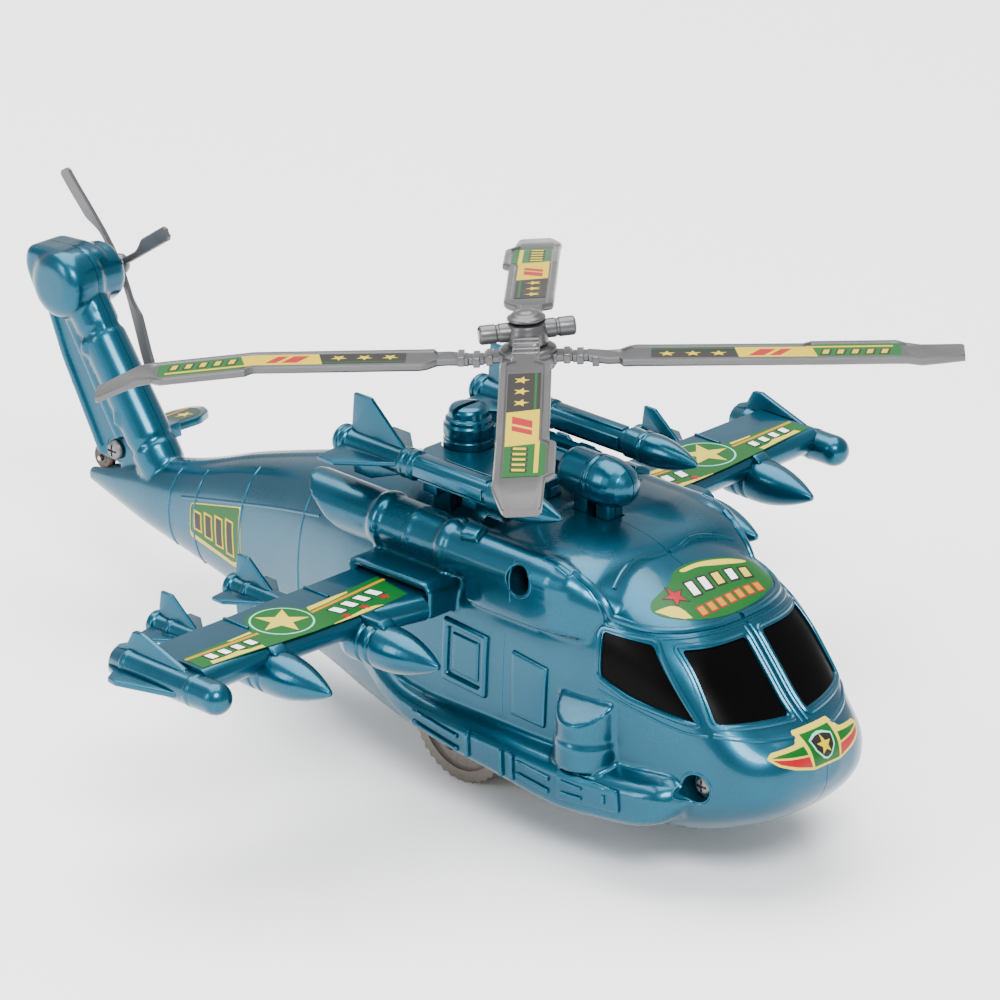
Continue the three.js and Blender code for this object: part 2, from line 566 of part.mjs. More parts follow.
const paddleHub = turned([[0, -1.6], [2.8, -1.6], [3.2, 0], [2.6, 1.8], [1.2, 2.4], [0, 2.5]], Z_AXIS,
  v3(0, 0, 0));
const paddles = [0, 90, 180, 270].map((turn) => paddle().rotate([0, 0, turn + TAIL_HUB.phase]));
const tailPocket = rod(1.2, -3, 0.6, Z_AXIS, v3(0, 0, 0), 12);
const tailRotor = cut(join(paddleHub, ...paddles), tailPocket).rotate([90, 0, 90]);
piece('tail_rotor', tailRotor.translate([TAIL_HUB.x, TAIL_HUB.y, TAIL_HUB.z]), greyPlastic);
piece('tail_rotor_pin', rod(1, -3.6, TAIL_HUB.x + 0.2, X_AXIS, v3(0, TAIL_HUB.y, TAIL_HUB.z), 12), steel);

// ---- small tail wheel in the notch under the fin ----
const tailWheelAt = v3(0, TAIL_WHEEL.y, TAIL_WHEEL.z);
const half = TAIL_WHEEL.width / 2;
piece('tail_wheel', cut(turned([
  [0, -half], [TAIL_WHEEL.radius - 0.8, -half], [TAIL_WHEEL.radius, -half + 0.7],
  [TAIL_WHEEL.radius, half - 0.7], [TAIL_WHEEL.radius - 0.8, half], [0, half],
], X_AXIS, tailWheelAt), rod(0.95, -5, 5, X_AXIS, tailWheelAt, 12)), brownPlastic);
piece('tail_wheel_pin', rod(0.6, -2.4, 2.4, X_AXIS, tailWheelAt, 12), steel);

// ---- friction motor ----
// A gear's outline: trapezoid teeth, one of them centred on `phase` degrees.
function gearOutline(teeth, phase) {
  const pitch = (GEAR_MODULE * teeth) / 2;
  const tip = pitch + 0.85 * GEAR_MODULE;
  const root = pitch - 1.15 * GEAR_MODULE;
  const step = (2 * Math.PI) / teeth;
  const outline = [];
  for (let k = 0; k < teeth; k += 1) {
    const centre = (phase * Math.PI) / 180 + k * step;
    for (const [radius, share] of [[root, -0.3], [tip, -0.1], [tip, 0.1], [root, 0.3]]) {
      const angle = centre + share * step;
      outline.push([radius * Math.cos(angle), radius * Math.sin(angle)]);
    }
  }
  return outline;
}

const centreDistance = (GEAR_MODULE * (BIG_TEETH + SMALL_TEETH)) / 2 + 0.15;
const shaftAt = (from, degrees) => {
  const angle = (degrees * Math.PI) / 180;
  return v3(0, from.y + centreDistance * Math.cos(angle), from.z + centreDistance * Math.sin(angle));
};
const AXLE_AT = v3(0, WHEEL.y, WHEEL.z);
const IDLER_LINE = 165;
const FLYWHEEL_LINE = 150;
const IDLER_AT = shaftAt(AXLE_AT, IDLER_LINE);
const FLYWHEEL_AT = shaftAt(IDLER_AT, FLYWHEEL_LINE);
const smallPhase = (line) => line + 180 + 180 / SMALL_TEETH;

function gear(teeth, phase, x0, x1, at) {
  return slabX(gearOutline(teeth, phase), x0, x1).translate([0, at.y, at.z]);
}

function bored(body, radius, at) {
  return cut(body, rod(radius, -30, 30, X_AXIS, at, 16));
}

const AXLE_RADIUS = 1.5;
const PIN_RADIUS = 1;
piece('drive_axle', rod(AXLE_RADIUS, -18.6, 18.6, X_AXIS, AXLE_AT, 16), steel);
piece('axle_gear', bored(join(gear(BIG_TEETH, IDLER_LINE, -8, -4.5, AXLE_AT),
  rod(3.4, -8, -3.4, X_AXIS, AXLE_AT, 20)), AXLE_RADIUS + GAP / 2, AXLE_AT), whitePlastic);
piece('idler_gear', bored(join(gear(SMALL_TEETH, smallPhase(IDLER_LINE), -8.4, -3, IDLER_AT),
  gear(BIG_TEETH, FLYWHEEL_LINE, -3, 0.5, IDLER_AT)), PIN_RADIUS + GAP / 2, IDLER_AT), whitePlastic);
piece('idler_pin', rod(PIN_RADIUS, -9.8, 9.8, X_AXIS, IDLER_AT, 12), steel);
piece('flywheel', bored(join(gear(SMALL_TEETH, smallPhase(FLYWHEEL_LINE), -4, 1.4, FLYWHEEL_AT),
  rod(9.4, 1.4, 8.4, X_AXIS, FLYWHEEL_AT)), PIN_RADIUS + GAP / 2, FLYWHEEL_AT), steel);
piece('flywheel_pin', rod(PIN_RADIUS, -9.8, 9.8, X_AXIS, FLYWHEEL_AT, 12), steel);

// Ridged drive wheels, with a hub boss towards the motor.
function wheelOutline() {
  const outline = [];
  for (let k = 0; k < 2 * WHEEL.teeth; k += 1) {
    const angle = (Math.PI * (k + 0.5)) / WHEEL.teeth;
    const radius = WHEEL.radius - (k % 2 ? 0.7 : 0);
    outline.push([radius * Math.cos(angle), radius * Math.sin(angle)]);
  }
  return outline;
}

const tyre = slabX(wheelOutline(), WHEEL.x - WHEEL.width / 2, WHEEL.x + WHEEL.width / 2);
const driveWheel = bored(cut(
  tyre.translate([0, WHEEL.y, WHEEL.z]),
  turned([[0, WHEEL.x + 1], [4.6, WHEEL.x + 1], [13.6, WHEEL.x + 1.2], [13.6, 19], [0, 19]], X_AXIS, AXLE_AT),
).add(rod(4.2, WHEEL.x, WHEEL.x + 2, X_AXIS, AXLE_AT, 20)), AXLE_RADIUS + GAP / 2, AXLE_AT);
piece('drive_wheel_starboard', mirrorX(driveWheel), wheelPlastic);
piece('drive_wheel_port', driveWheel, wheelPlastic);

// Motor case: two open trays that meet on the middle plane and close the belly hatch.
const CASE = { y0: -35.4, y1: 25.4, z0: -111, z1: -78.6 };
function motorCaseHalf() {
  const tray = box(GAP / 2, MOTOR_HALF_WIDTH, CASE.y0, CASE.y1, CASE.z0, CASE.z1);
  const hollow = box(-1, MOTOR_HALF_WIDTH - 1.4, CASE.y0 + 1.4, CASE.y1 - 1.4, CASE.z0 + 1.4, CASE.z1 - 1.4);
  const window = box(-1, MOTOR_HALF_WIDTH - 1.4, CASE.y0 + 14, CASE.y1 - 5, -112, -108);
  const axleHole = rod(AXLE_RADIUS + GAP, -5, 20, X_AXIS, AXLE_AT, 16);
  const pinHoles = [IDLER_AT, FLYWHEEL_AT].map((at) => rod(PIN_RADIUS + GAP / 2, 8, 20, X_AXIS, at, 12));
  return cut(tray, hollow, axleHole, window, ...pinHoles);
}
const motorCase = motorCaseHalf();
piece('motor_case_starboard', mirrorX(motorCase), whitePlastic);
piece('motor_case_port', motorCase, whitePlastic);

export default helicopter;
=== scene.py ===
"""Toy helicopter: the moulded shapes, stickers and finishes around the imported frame."""
import math

import bmesh
import bpy
import numpy as np
from mathutils import Matrix, Vector
from mathutils.bvhtree import BVHTree
from mathutils.geometry import delaunay_2d_cdt


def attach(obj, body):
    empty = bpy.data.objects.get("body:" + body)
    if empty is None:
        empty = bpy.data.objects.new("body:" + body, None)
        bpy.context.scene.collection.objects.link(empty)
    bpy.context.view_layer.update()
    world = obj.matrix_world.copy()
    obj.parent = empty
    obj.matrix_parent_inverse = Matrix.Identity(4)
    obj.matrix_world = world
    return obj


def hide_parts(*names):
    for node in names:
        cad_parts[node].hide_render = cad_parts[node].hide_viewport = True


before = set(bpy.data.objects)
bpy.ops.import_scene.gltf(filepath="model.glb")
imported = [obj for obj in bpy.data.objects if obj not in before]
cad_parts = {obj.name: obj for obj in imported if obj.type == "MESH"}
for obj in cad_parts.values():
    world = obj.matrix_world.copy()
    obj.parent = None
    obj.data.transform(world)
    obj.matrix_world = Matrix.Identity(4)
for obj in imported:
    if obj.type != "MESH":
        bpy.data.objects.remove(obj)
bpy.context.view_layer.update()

# Shapes are drawn in millimetres from the rotor hub: +X port, +Y aft, +Z up.
TO_ROW = Matrix.Translation((0, -0.04625, 0.1184)) @ Matrix.Scale(0.001, 4)
ROTOR_TILT = Matrix.Rotation(math.radians(-4.8), 4, "X")
ROTOR_PHASE = 42.75
X, Y, Z = Vector((1, 0, 0)), Vector((0, 1, 0)), Vector((0, 0, 1))


# ---- meshes ----
def make(name, verts, faces):
    mesh = bpy.data.meshes.new(name)
    mesh.from_pydata([tuple(v) for v in verts], [], faces)
    mesh.validate()
    obj = bpy.data.objects.new(name, mesh)
    bpy.context.collection.objects.link(obj)
    work = bmesh.new()
    work.from_mesh(mesh)
    bmesh.ops.remove_doubles(work, verts=work.verts, dist=1e-5)
    bmesh.ops.recalc_face_normals(work, faces=work.faces)
    work.to_mesh(mesh)
    work.free()
    return obj


def loft(rings, name="loft"):
    """A closed skin over rings of equal point counts."""
    rings = np.asarray(rings, float)
    rows, count = rings.shape[:2]
    faces = []
    for r in range(rows - 1):
        for k in range(count):
            a, b = r * count + k, r * count + (k + 1) % count
            faces.append((a, b, b + count, a + count))
    faces.append(tuple(range(count)))
    faces.append(tuple(range((rows - 1) * count, rows * count))[::-1])
    return make(name, rings.reshape(-1, 3), faces)


def rounded(outline, radius=1.0, steps=4):
    """The outline with its corners rounded."""
    out = []
    count = len(outline)
    for k in range(count):
        before, here, after = (Vector(outline[(k + j) % count]) for j in (-1, 0, 1))
        a, b = before - here, after - here
        reach = min(radius, a.length * 0.45, b.length * 0.45)
        start, end = here + a.normalized() * reach, here + b.normalized() * reach
        out += [start.lerp(here, t).lerp(here.lerp(end, t), t) for t in np.linspace(0, 1, steps + 1)]
    return out


def rounded_profile(profile, radius=0.35, steps=3):
    """The same lathe profile with its inner corners rounded off."""
    points = [Vector(p) for p in profile]
    out = [points[0]]
    for before, here, after in zip(points, points[1:], points[2:]):
        a, b = before - here, after - here
        reach = min(radius, a.length * 0.45, b.length * 0.45)
        if reach < 1e-4:
            out.append(here)
            continue
        start, end = here + a.normalized() * reach, here + b.normalized() * reach
        for k in range(steps + 1):
            t = k / steps
            out.append(start.lerp(here, t).lerp(here.lerp(end, t), t))
    out.append(points[-1])
    return out


def turned(profile, at=(0, 0, 0), axis=Y, segments=48, corner=0.35, name="turned"):
    """A lathe solid from (radius, distance along the axis) points."""
    profile = rounded_profile(profile, corner)
    turn = Z.rotation_difference(Vector(axis)).to_matrix()
    at = Vector(at)
    verts, faces = [], []
    for radius, along in profile:
        for k in range(segments):
            angle = 2 * math.pi * k / segments
            verts.append(turn @ Vector((radius * math.cos(angle), radius * math.sin(angle), along)) + at)
    for r in range(len(profile) - 1):
        for k in range(segments):
            a, b = r * segments + k, r * segments + (k + 1) % segments
            faces.append((a, b, b + segments, a + segments))
    return make(name, verts, faces)


def rod(radius, low, high, at=(0, 0, 0), axis=Y, segments=48, corner=0.35):
    """A plain cylinder from low to high along its axis."""
    return turned([(0, low), (radius, low), (radius, high), (0, high)], at, axis, segments, corner)


def prism(outline, low, high, axis="X", bevel=0.0, name="prism"):
    """An outline given in the other two axes, carried from low to high along one axis."""
    place = {"X": lambda p, q, d: (d, p, q), "Y": lambda p, q, d: (p, d, q), "Z": lambda p, q,
             d: (p, q, d)}[axis]
    count = len(outline)
    verts = [place(p, q, d) for d in (low, high) for p, q in outline]
    faces = [tuple(range(count)), tuple(range(count, 2 * count))]
    faces += [(k, (k + 1) % count, count + (k + 1) % count, count + k) for k in range(count)]
    obj = make(name, verts, faces)
    if bevel:
        round_edges(obj, bevel)
    return obj


def round_edges(obj, width, segments=3, angle=25):
    mod = obj.modifiers.new("round", "BEVEL")
    mod.width, mod.segments, mod.limit_method = width, segments, "ANGLE"
    mod.angle_limit = math.radians(angle)
    mod.use_clamp_overlap = True
    return settle(obj)


def block(low, high, bevel=0.3, name="block"):
    outline = [(low[0], low[1]), (high[0], low[1]), (high[0], high[1]), (low[0], high[1])]
    return prism(outline, low[2], high[2], "Z", bevel, name)


def settle(obj):
    """Applies an object's modifiers to its mesh."""
    graph = bpy.context.evaluated_depsgraph_get()
    mesh = bpy.data.meshes.new_from_object(obj.evaluated_get(graph))
    old = obj.data
    obj.modifiers.clear()
    obj.data = mesh
    bpy.data.meshes.remove(old)
    return obj


def drop(*objects):
    for obj in objects:
        mesh = obj.data
        bpy.data.objects.remove(obj)
        bpy.data.meshes.remove(mesh)


def copy_of(obj, name="copy"):
    twin = bpy.data.objects.new(name, obj.data.copy())
    bpy.context.collection.objects.link(twin)
    return twin


def merged(objects, name="merged"):
    """One object that holds the meshes of several."""
    work = bmesh.new()
    for obj in objects:
        work.from_mesh(obj.data)
    mesh = bpy.data.meshes.new(name)
    work.to_mesh(mesh)
    work.free()
    drop(*objects)
    obj = bpy.data.objects.new(name, mesh)
    bpy.context.collection.objects.link(obj)
    return obj


def boolean(obj, tool, operation, keep_tool=False):
    mod = obj.modifiers.new("bool", "BOOLEAN")
    mod.operation, mod.object, mod.solver = operation, tool, "MANIFOLD"
    settle(obj)
    if not keep_tool:
        drop(tool)
    return obj


def cut(obj, tool):
    return boolean(obj, tool, "DIFFERENCE")


def fused(objects, size, smooth, name="fused"):
    """Overlapping closed solids as one moulding with softened inner corners."""
    obj = merged(objects, name)
    mod = obj.modifiers.new("remesh", "REMESH")
    mod.mode, mod.voxel_size = "VOXEL", size
    if smooth:
        soft = obj.modifiers.new("smooth", "SMOOTH")
        soft.factor, soft.iterations = 0.5, smooth
    return settle(obj)


def mirrored(obj, name):
    twin = copy_of(obj, name)
    twin.data.transform(Matrix.Scale(-1, 4, X))
    twin.data.flip_normals()
    return twin


def spun(obj, degrees, axis="Z", at=(0, 0, 0)):
    at = Vector(at)
    turn = Matrix.Translation(at) @ Matrix.Rotation(math.radians(degrees), 4,
            axis) @ Matrix.Translation(-at)
    obj.data.transform(turn)
    return obj


def piece(obj, name, body, material, replaces=(), tilt=False, flat=False):
    obj.name = obj.data.name = name
    obj.data.transform(TO_ROW @ ROTOR_TILT if tilt else TO_ROW)
    obj.data.materials.clear()
    obj.data.materials.append(material)
    obj.data.shade_flat()
    if not flat:
        obj.data.shade_smooth()
        obj.data.set_sharp_from_angle(angle=math.radians(32))
    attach(obj, body)
    if replaces:
        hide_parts(*replaces)
    return obj


# ---- materials ----
def material(name, color, metallic=0.0, roughness=0.4, coat=0.0, grain=0.0, grain_scale=900, flow=0.0,
             speck=0.0, bump=0.0, bump_scale=700, coat_roughness=0.08, edge_light_crease_shade=0.0, specular=0.5):
    """Moulded plastic or print: slight colour and roughness drift, fine speckle, a slight surface bump, and
    where asked painted shade in creases with painted highlights on edges.
    """
    mat = bpy.data.materials.new(name)
    mat.use_nodes = True
    nodes, links = mat.node_tree.nodes, mat.node_tree.links
    shader = nodes["Principled BSDF"]
    shader.inputs["Metallic"].default_value = metallic
    shader.inputs["Roughness"].default_value = roughness
    shader.inputs["Coat Weight"].default_value = coat
    shader.inputs["Specular IOR Level"].default_value = specular
    shader.inputs["Coat Roughness"].default_value = coat_roughness
    place = nodes.new("ShaderNodeTexCoord")

    def noise(scale, detail=3.0, distortion=0.0):
        node = nodes.new("ShaderNodeTexNoise")
        node.inputs["Scale"].default_value = scale
        node.inputs["Detail"].default_value = detail
        node.inputs["Distortion"].default_value = distortion
        links.new(place.outputs["Object"], node.inputs["Vector"])
        return node.outputs["Fac"]

    def ramp(value, low, high, start=0.3, end=0.7):
        node = nodes.new("ShaderNodeMapRange")
        node.inputs["From Min"].default_value, node.inputs["From Max"].default_value = start, end
        node.inputs["To Min"].default_value, node.inputs["To Max"].default_value = low, high
        links.new(value, node.inputs["Value"])
        return node.outputs["Result"]

    def shaded(source, factor, value):
        node = nodes.new("ShaderNodeMix")
        node.data_type = "RGBA"
        node.blend_type = "MULTIPLY"
        node.inputs["Factor"].default_value = factor
        links.new(source, node.inputs[6])
        grey = nodes.new("ShaderNodeCombineColor")
        for channel in ("Red", "Green", "Blue"):
            links.new(value, grey.inputs[channel])
        links.new(grey.outputs["Color"], node.inputs[7])
        return node.outputs[2]

    base = nodes.new("ShaderNodeRGB")
    base.outputs[0].default_value = (*color, 1)
    tone = base.outputs[0]
    if flow:
        tone = shaded(tone, 1.0, ramp(noise(18, 4, 1.5), 1 - flow, 1 + flow))
    if grain:
        tone = shaded(tone, 1.0, ramp(noise(grain_scale, 2), 1 - grain, 1 + grain))
    # Painted light: pointiness darkens the colour in concave creases (painted shade) and lightens it on
    # convex edges (painted highlight).
    if edge_light_crease_shade:
        edge = nodes.new("ShaderNodeNewGeometry")
        tone = shaded(tone, 1.0, ramp(edge.outputs["Pointiness"], 1 - edge_light_crease_shade, 1 + edge_light_crease_shade, 0.44, 0.56))
    links.new(tone, shader.inputs["Base Color"])
    if speck:
        links.new(ramp(noise(60, 5), roughness - speck, roughness + speck), shader.inputs["Roughness"])
    if bump:
        node = nodes.new("ShaderNodeBump")
        node.inputs["Strength"].default_value = bump
        node.inputs["Distance"].default_value = 0.0002
        links.new(noise(bump_scale, 4), node.inputs["Height"])
        links.new(node.outputs["Normal"], shader.inputs["Normal"])
    return mat


# Teal, silver, wheel, screw and steel get painted crease shade and painted edge highlights from the
# pointiness term.
TEAL = material("teal_pearl", (0.002, 0.066, 0.112), 0.82, 0.3, 0.3, grain=0.10, grain_scale=2600,
                flow=0.08,
                speck=0.05, bump=0.05, bump_scale=260, edge_light_crease_shade=0.18)
SILVER = material("silver_grey", (0.085, 0.085, 0.088), 0.65, 0.34, 0.15, grain=0.06, grain_scale=2200,
                  flow=0.06,
                  speck=0.07, bump=0.06, bump_scale=300, edge_light_crease_shade=0.2)
BLACK = material("window_black", (0.0008, 0.0008, 0.0008), 0.0, 0.3, grain=0.1, speck=0.04, bump=0.02,
                 bump_scale=90,
                 specular=0.04)
WHEEL = material("wheel_plastic", (0.12, 0.1, 0.085), 0.0, 0.55, grain=0.12, flow=0.1, speck=0.1, bump=0.2,
                 edge_light_crease_shade=0.2)
WHITE = material("white_plastic", (0.7, 0.68, 0.62), 0.0, 0.5, grain=0.05, flow=0.06, speck=0.08, bump=0.1)
BROWN = material("brown_plastic", (0.05, 0.026, 0.02), 0.0, 0.45, grain=0.1, flow=0.1, speck=0.1, bump=0.15)
SCREW = material("screw_zinc", (0.16, 0.16, 0.16), 1.0, 0.42, grain=0.1, flow=0.1, speck=0.1, bump=0.1,
                 edge_light_crease_shade=0.2)
STEEL = material("steel", (0.4, 0.4, 0.42), 1.0, 0.3, grain=0.06, flow=0.1, speck=0.1, bump=0.1, edge_light_crease_shade=0.2)
IRON = material("flywheel_iron", (0.1, 0.1, 0.105), 1.0, 0.55, grain=0.15, flow=0.15, speck=0.1, bump=0.3)


def print_ink(name, color):
    return material(name, color, 0.0, 0.4, 0.06, grain=0.035, grain_scale=1800, flow=0.03, speck=0.05,
                    bump=0.04,
                    specular=0.2)


GREEN = print_ink("sticker_green", (0.0, 0.075, 0.008))
DEEP_GREEN = print_ink("sticker_deep_green", (0.005, 0.03, 0.014))
YELLOW = print_ink("sticker_yellow", (0.5, 0.36, 0.0))
CREAM = print_ink("sticker_cream", (0.55, 0.43, 0.045))
AMBER = print_ink("sticker_amber", (0.4, 0.18, 0.002))
RED = print_ink("sticker_red", (0.3, 0.0, 0.008))
CHARCOAL = print_ink("sticker_charcoal", (0.012, 0.01, 0.009))
CYAN = print_ink("sticker_cyan", (0.2, 0.55, 0.45))
PAPER = print_ink("sticker_white", (0.85, 0.85, 0.85))


# ---- moulded body ----
def moulding(obj, node, body="airframe", finish=TEAL, tilt=False):
    """A finished moulding that replaces the CAD node of the same name."""
    return piece(obj, f"{node}_moulding", body, finish, [node], tilt=tilt)


def smooth_table(table, stations):
    """Rows of a table at new stations, by monotone cubics against its first column."""
    t = np.array(table, float)
    x = t[:, 0]
    h = np.diff(x)[:, None]
    d = np.diff(t, axis=0) / h
    m = np.zeros_like(t)
    same = d[:-1] * d[1:] > 0
    w1, w2 = 2 * h[1:] + h[:-1], h[1:] + 2 * h[:-1]
    with np.errstate(divide="ignore", invalid="ignore"):
        inner = (w1 + w2) / (w1 / d[:-1] + w2 / d[1:])
    m[1:-1] = np.where(same, inner, 0)
    m[0], m[-1] = d[0], d[-1]
    k = np.clip(np.searchsorted(x, stations) - 1, 0, len(x) - 2)
    s = ((stations - x[k]) / np.diff(x)[k])[:, None]
    hk = np.diff(x)[k][:, None]
    return (t[k] * (2 * s**3 - 3 * s**2 + 1) + m[k] * hk * (s**3 - 2 * s**2 + s)
            + t[k + 1] * (-2 * s**3 + 3 * s**2) + m[k + 1] * hk * (s**3 - s**2))


# Hull sections: y, half width, top, widest height, bottom, roundness above and below.
HULL = [
    (-103.4, 5, -81, -85, -88.6, 2, 2), (-102.2, 12, -78.8, -85.5, -91.8, 2.2, 2.2),
    (-99.8, 17, -76.6, -86, -95, 2.4, 2.4), (-96, 21, -74.4, -86, -98.4, 2.5, 2.5),
    (-91, 23.7, -70.4, -86, -101.4, 2.7, 2.6), (-84, 25.8, -62.6, -86, -104.4, 3.2, 2.8),
    (-77, 27.2, -55.2, -85, -106.6, 3.5, 3), (-69, 28.6, -50.6, -83, -107.9, 3.8, 3.2),
    (-60, 29.8, -47, -81, -109, 3.9, 3.4), (-53, 30.6, -44.6, -80, -109.8, 3.7, 3.5),
    (-43, 31.1, -41.6, -79, -110.4, 3.4, 3.5), (-30, 31.5, -39.4, -78, -111, 3.1, 3.6),
    (0, 31.5, -39.5, -76, -110.8, 3, 3.5), (20, 30.6, -39.9, -76, -108.6, 2.8, 3.3),
    (36, 28, -41.8, -76, -106.4, 2.7, 3.1), (52, 24.2, -45, -76, -104, 2.6, 2.9),
    (75, 18.6, -51.2, -76.5, -101, 2.5, 2.7), (100, 13.4, -58.8, -78, -96.2, 2.4, 2.5),
    (122, 9.6, -66.8, -80, -92.8, 2.3, 2.4), (140, 7, -71.5, -80.5, -90.2, 2.2, 2.2),
    (156, 4, -77, -81.5, -86.6, 2, 2), (165.6, 1.6, -80.6, -82.4, -84.4, 2, 2),
]


def hull_solid(inset=0.0, first=-103.4, last=165.6, name="hull"):
    near = first + (last - first) * (1 - np.cos(np.linspace(0, math.pi / 2, 150)))
    rows = smooth_table(HULL, near)
    angle = 2 * math.pi * (np.arange(96) + 0.5) / 96
    c, s = np.cos(angle), np.sin(angle)
    rings = []
    for y, width, top, middle, bottom, above, below in rows:
        power = 2 / np.where(s >= 0, above, below)
        reach = np.where(s >= 0, top - inset - middle, middle - bottom - inset)
        x = (width - inset) * np.sign(c) * np.abs(c) ** power
        z = middle + reach * np.sign(s) * np.abs(s) ** power
        rings.append(np.stack([x, np.full_like(x, y), z], 1))
    return loft(rings, name)


def nacelle():
    """Engine drum along the roof edge: domed front, ring steps, slanted rear."""
    drum = turned([
        (0, -47.4), (3, -46.4), (5.2, -43.4), (6.6, -38.5), (7.1, -32), (7.1, -3.2), (7.6, -2.9),
        (7.6, -0.6),
        (7, -0.2), (7, 9.4), (7.2, 9.6), (7.2, 10.8), (7, 11), (7, 20.4), (7.7, 20.9), (7.7, 23.4), (7, 24),
        (7, 50), (0, 50),
    ], (27, 0, -47), Y, 64, 0.3)
    wedge = prism([(51.5, -38.5), (29.5, -58.5), (29.5, -75), (75, -75), (75, -38.5)], 15, 40, "X")
    return cut(drum, wedge)


def cowl():
    """The roof bulge that joins both nacelle fronts, sunk into the hull at its own front and back."""
    rows = smooth_table([(-59, 20, -50.5), (-54, 26, -46.6), (-49.4, 29.6, -43.6), (-48, 30.4, -42.5),
                         (-44, 32.2, -41),
                         (-38, 33.6, -39.8), (-30, 34.1, -39.1), (-18, 34.1, -39.1), (-10, 33, -40.6)],
                         np.linspace(-59, -10, 60))
    turn = 2 * math.pi * (np.arange(72) + 0.5) / 72
    rings = []
    for y, width, top in rows:
        c, s = np.cos(turn), np.sin(turn)
        x = width * np.sign(c) * np.abs(c) ** 0.4
        z = -56 + np.where(s > 0, top + 56, 3) * np.sign(s) * np.abs(s) ** 0.4
        rings.append(np.stack([x, np.full_like(x, y), z], 1))
    return loft(rings, "cowl")


def spine():
    """Narrow flat ridge along the top of the boom."""
    rings = []
    for row in smooth_table(HULL, np.linspace(58, 134, 40)):
        top = row[2] + 0.55 * min(1, (row[0] - 58) / 3)
        rings.append([(-3, row[0], top - 2.4), (-2.2, row[0], top), (2.2, row[0], top),
                      (3, row[0], top - 2.4)])
    return loft(rings, "spine")


# Lower side sponson: y, outer x, top, bottom.
SPONSON = [(-81, 27.6, -91.4, -94.6), (-79.4, 31.4, -89.4, -96.8), (-76, 34, -88.8, -99),
           (-70, 35.6, -89.2, -100.8),
           (-58, 37, -89.8, -102), (-46, 37.8, -90, -102.8), (-25, 37.4, -89.7, -101),
           (0, 36.4, -89.4, -98.7),
           (10, 35.6, -88.6, -96.9), (20, 33.4, -86.4, -94.4), (32, 28.5, -82.8, -90.5)]


def sponson():
    rings = []
    for y, x, top, bottom in smooth_table(SPONSON, np.linspace(-81, 32, 70)):
        outline = [(23, top + 4.2), (x - 4.4, top + 0.6), (x - 2.4, top), (x - 0.9, top - 1.2),
                   (x, top - 2.6),
                   (x - 0.2, bottom + 2), (x - 1.6, bottom + 0.5), (x - 3.4, bottom), (23, bottom - 0.4)]
        rings.append([(px, y, pz) for px, pz in outline])
    return loft(rings)


def scoop():
    """Upright half drum on the side, with a sloping top and a step near its foot."""
    drum = turned([(0, -90), (9.1, -90), (9.1, -83.4), (8.4, -82.6), (8.4, -66), (0, -66)],
                  (29.8, -50.5, 0), Z, 64, 0.5)
    slope = prism([(18, -60), (46, -60), (46, -82.8), (28, -71), (18, -71)], -64, -36, "Y")
    return cut(drum, slope)


def wing_socket():
    base = prism([(-5.5, -62.4), (24, -62.4), (24, -54), (21.5, -52.8), (-3, -52.8), (-5.5, -54.6)], 24,
                 41, "X", 0.6)
    return cut(base, block((35.2, -3.8, -61), (42, 20.8, -54.6), 0))


FIN_FOOT, FIN_HEAD = Vector((0, 139, -70)), Vector((0, 166, -33))
FIN_AXIS = (FIN_HEAD - FIN_FOOT).normalized()
FIN_LENGTH = (FIN_HEAD - FIN_FOOT).length
TAIL_HUB = Vector((16, 170.7, -27.4))


def tail_fin():
    tube = turned([
        (0, -14), (3.6, -12.6), (5.8, -8), (6.6, -2), (6.7, 2.6), (6.1, 3), (6.1, 4.6), (6.5, 5),
        (6.2, FIN_LENGTH - 10),
        (5.5, FIN_LENGTH - 9.4), (5.5, FIN_LENGTH - 7.6), (6, FIN_LENGTH - 7), (6.1, FIN_LENGTH + 2),
        (0, FIN_LENGTH + 2),
    ], FIN_FOOT, FIN_AXIS, 64, 0.4)
    web = prism([(142, -76), (158.6, -74.6), (164.6, -65.6), (173.2, -49.4), (179, -35.4), (183.6, -25.6),
                 (183.4, -22.4), (180.4, -19.4), (175, -18.4), (160, -31), (147, -52)], -2.8, 2.8, "X", 0.5)
    rails = [prism(rail, -reach, reach, "X", 0.5) for rail, reach in (
        ([(157.2, -72.4), (158.8, -74.4), (173.3, -49.4), (183.8, -25), (181.6, -24.6), (171.2, -48.4)],
         3.8),
        ([(148.6, -66), (150.6, -67.4), (172.4, -34), (170.2, -32.6)], 5.2))]
    drum = turned([(0, -9.4), (5.6, -9.2), (7.8, -8.4), (9.1, -7), (9.6, -5), (9.6, -0.5), (9.3, 0),
                   (9.6, 0.5),
                   (9.6, 2), (8.6, 3), (8.4, 10), (7.4, 11.6), (3.6, 12), (3.6, 12.6), (0, 12.6)],
                  (0, TAIL_HUB.y, TAIL_HUB.z), X, 64, 0.5)
    lobe = prism(rounded([(164, -19.6), (170.7, -17.7), (177, -18.3), (183.4, -18.8), (184.4, -24.5),
                          (181, -31.5), (176, -36.4),
                          (170, -37.2), (164, -34)], 3), -7.2, 7.2, "X", 2.4)
    knobs = [block((-6.8, y - 1, z - 1.8), (-4, y + 1.4, z + 1.8), 0.4) for y,
             z in ((148.4, -60.5), (161, -43))]
    return [tube, web, drum, lobe, *rails, *knobs]


portside = [nacelle(), sponson(), scoop(), wing_socket()]
features = portside + [mirrored(one, "far") for one in portside]
SKIN_VOXEL, SKIN_SMOOTHING = 0.62, 4
outer = fused([hull_solid(), cowl(), spine(), *features, *tail_fin()], SKIN_VOXEL, SKIN_SMOOTHING, "outer")

# Rays onto this skin place every raised detail and sticker.

SKIN = BVHTree.FromPolygons([v.co for v in outer.data.vertices], [p.vertices for p in outer.data.polygons])
VIEWS = {  # place of (p, q) before the ray, and the ray's way
    "port": (lambda p, q: (90, p, q), -X), "starboard": (lambda p, q: (-90, p, q), X),
    "top": (lambda p, q: (p, q, 40), -Z), "front": (lambda p, q: (p, -150, q), Y),
}


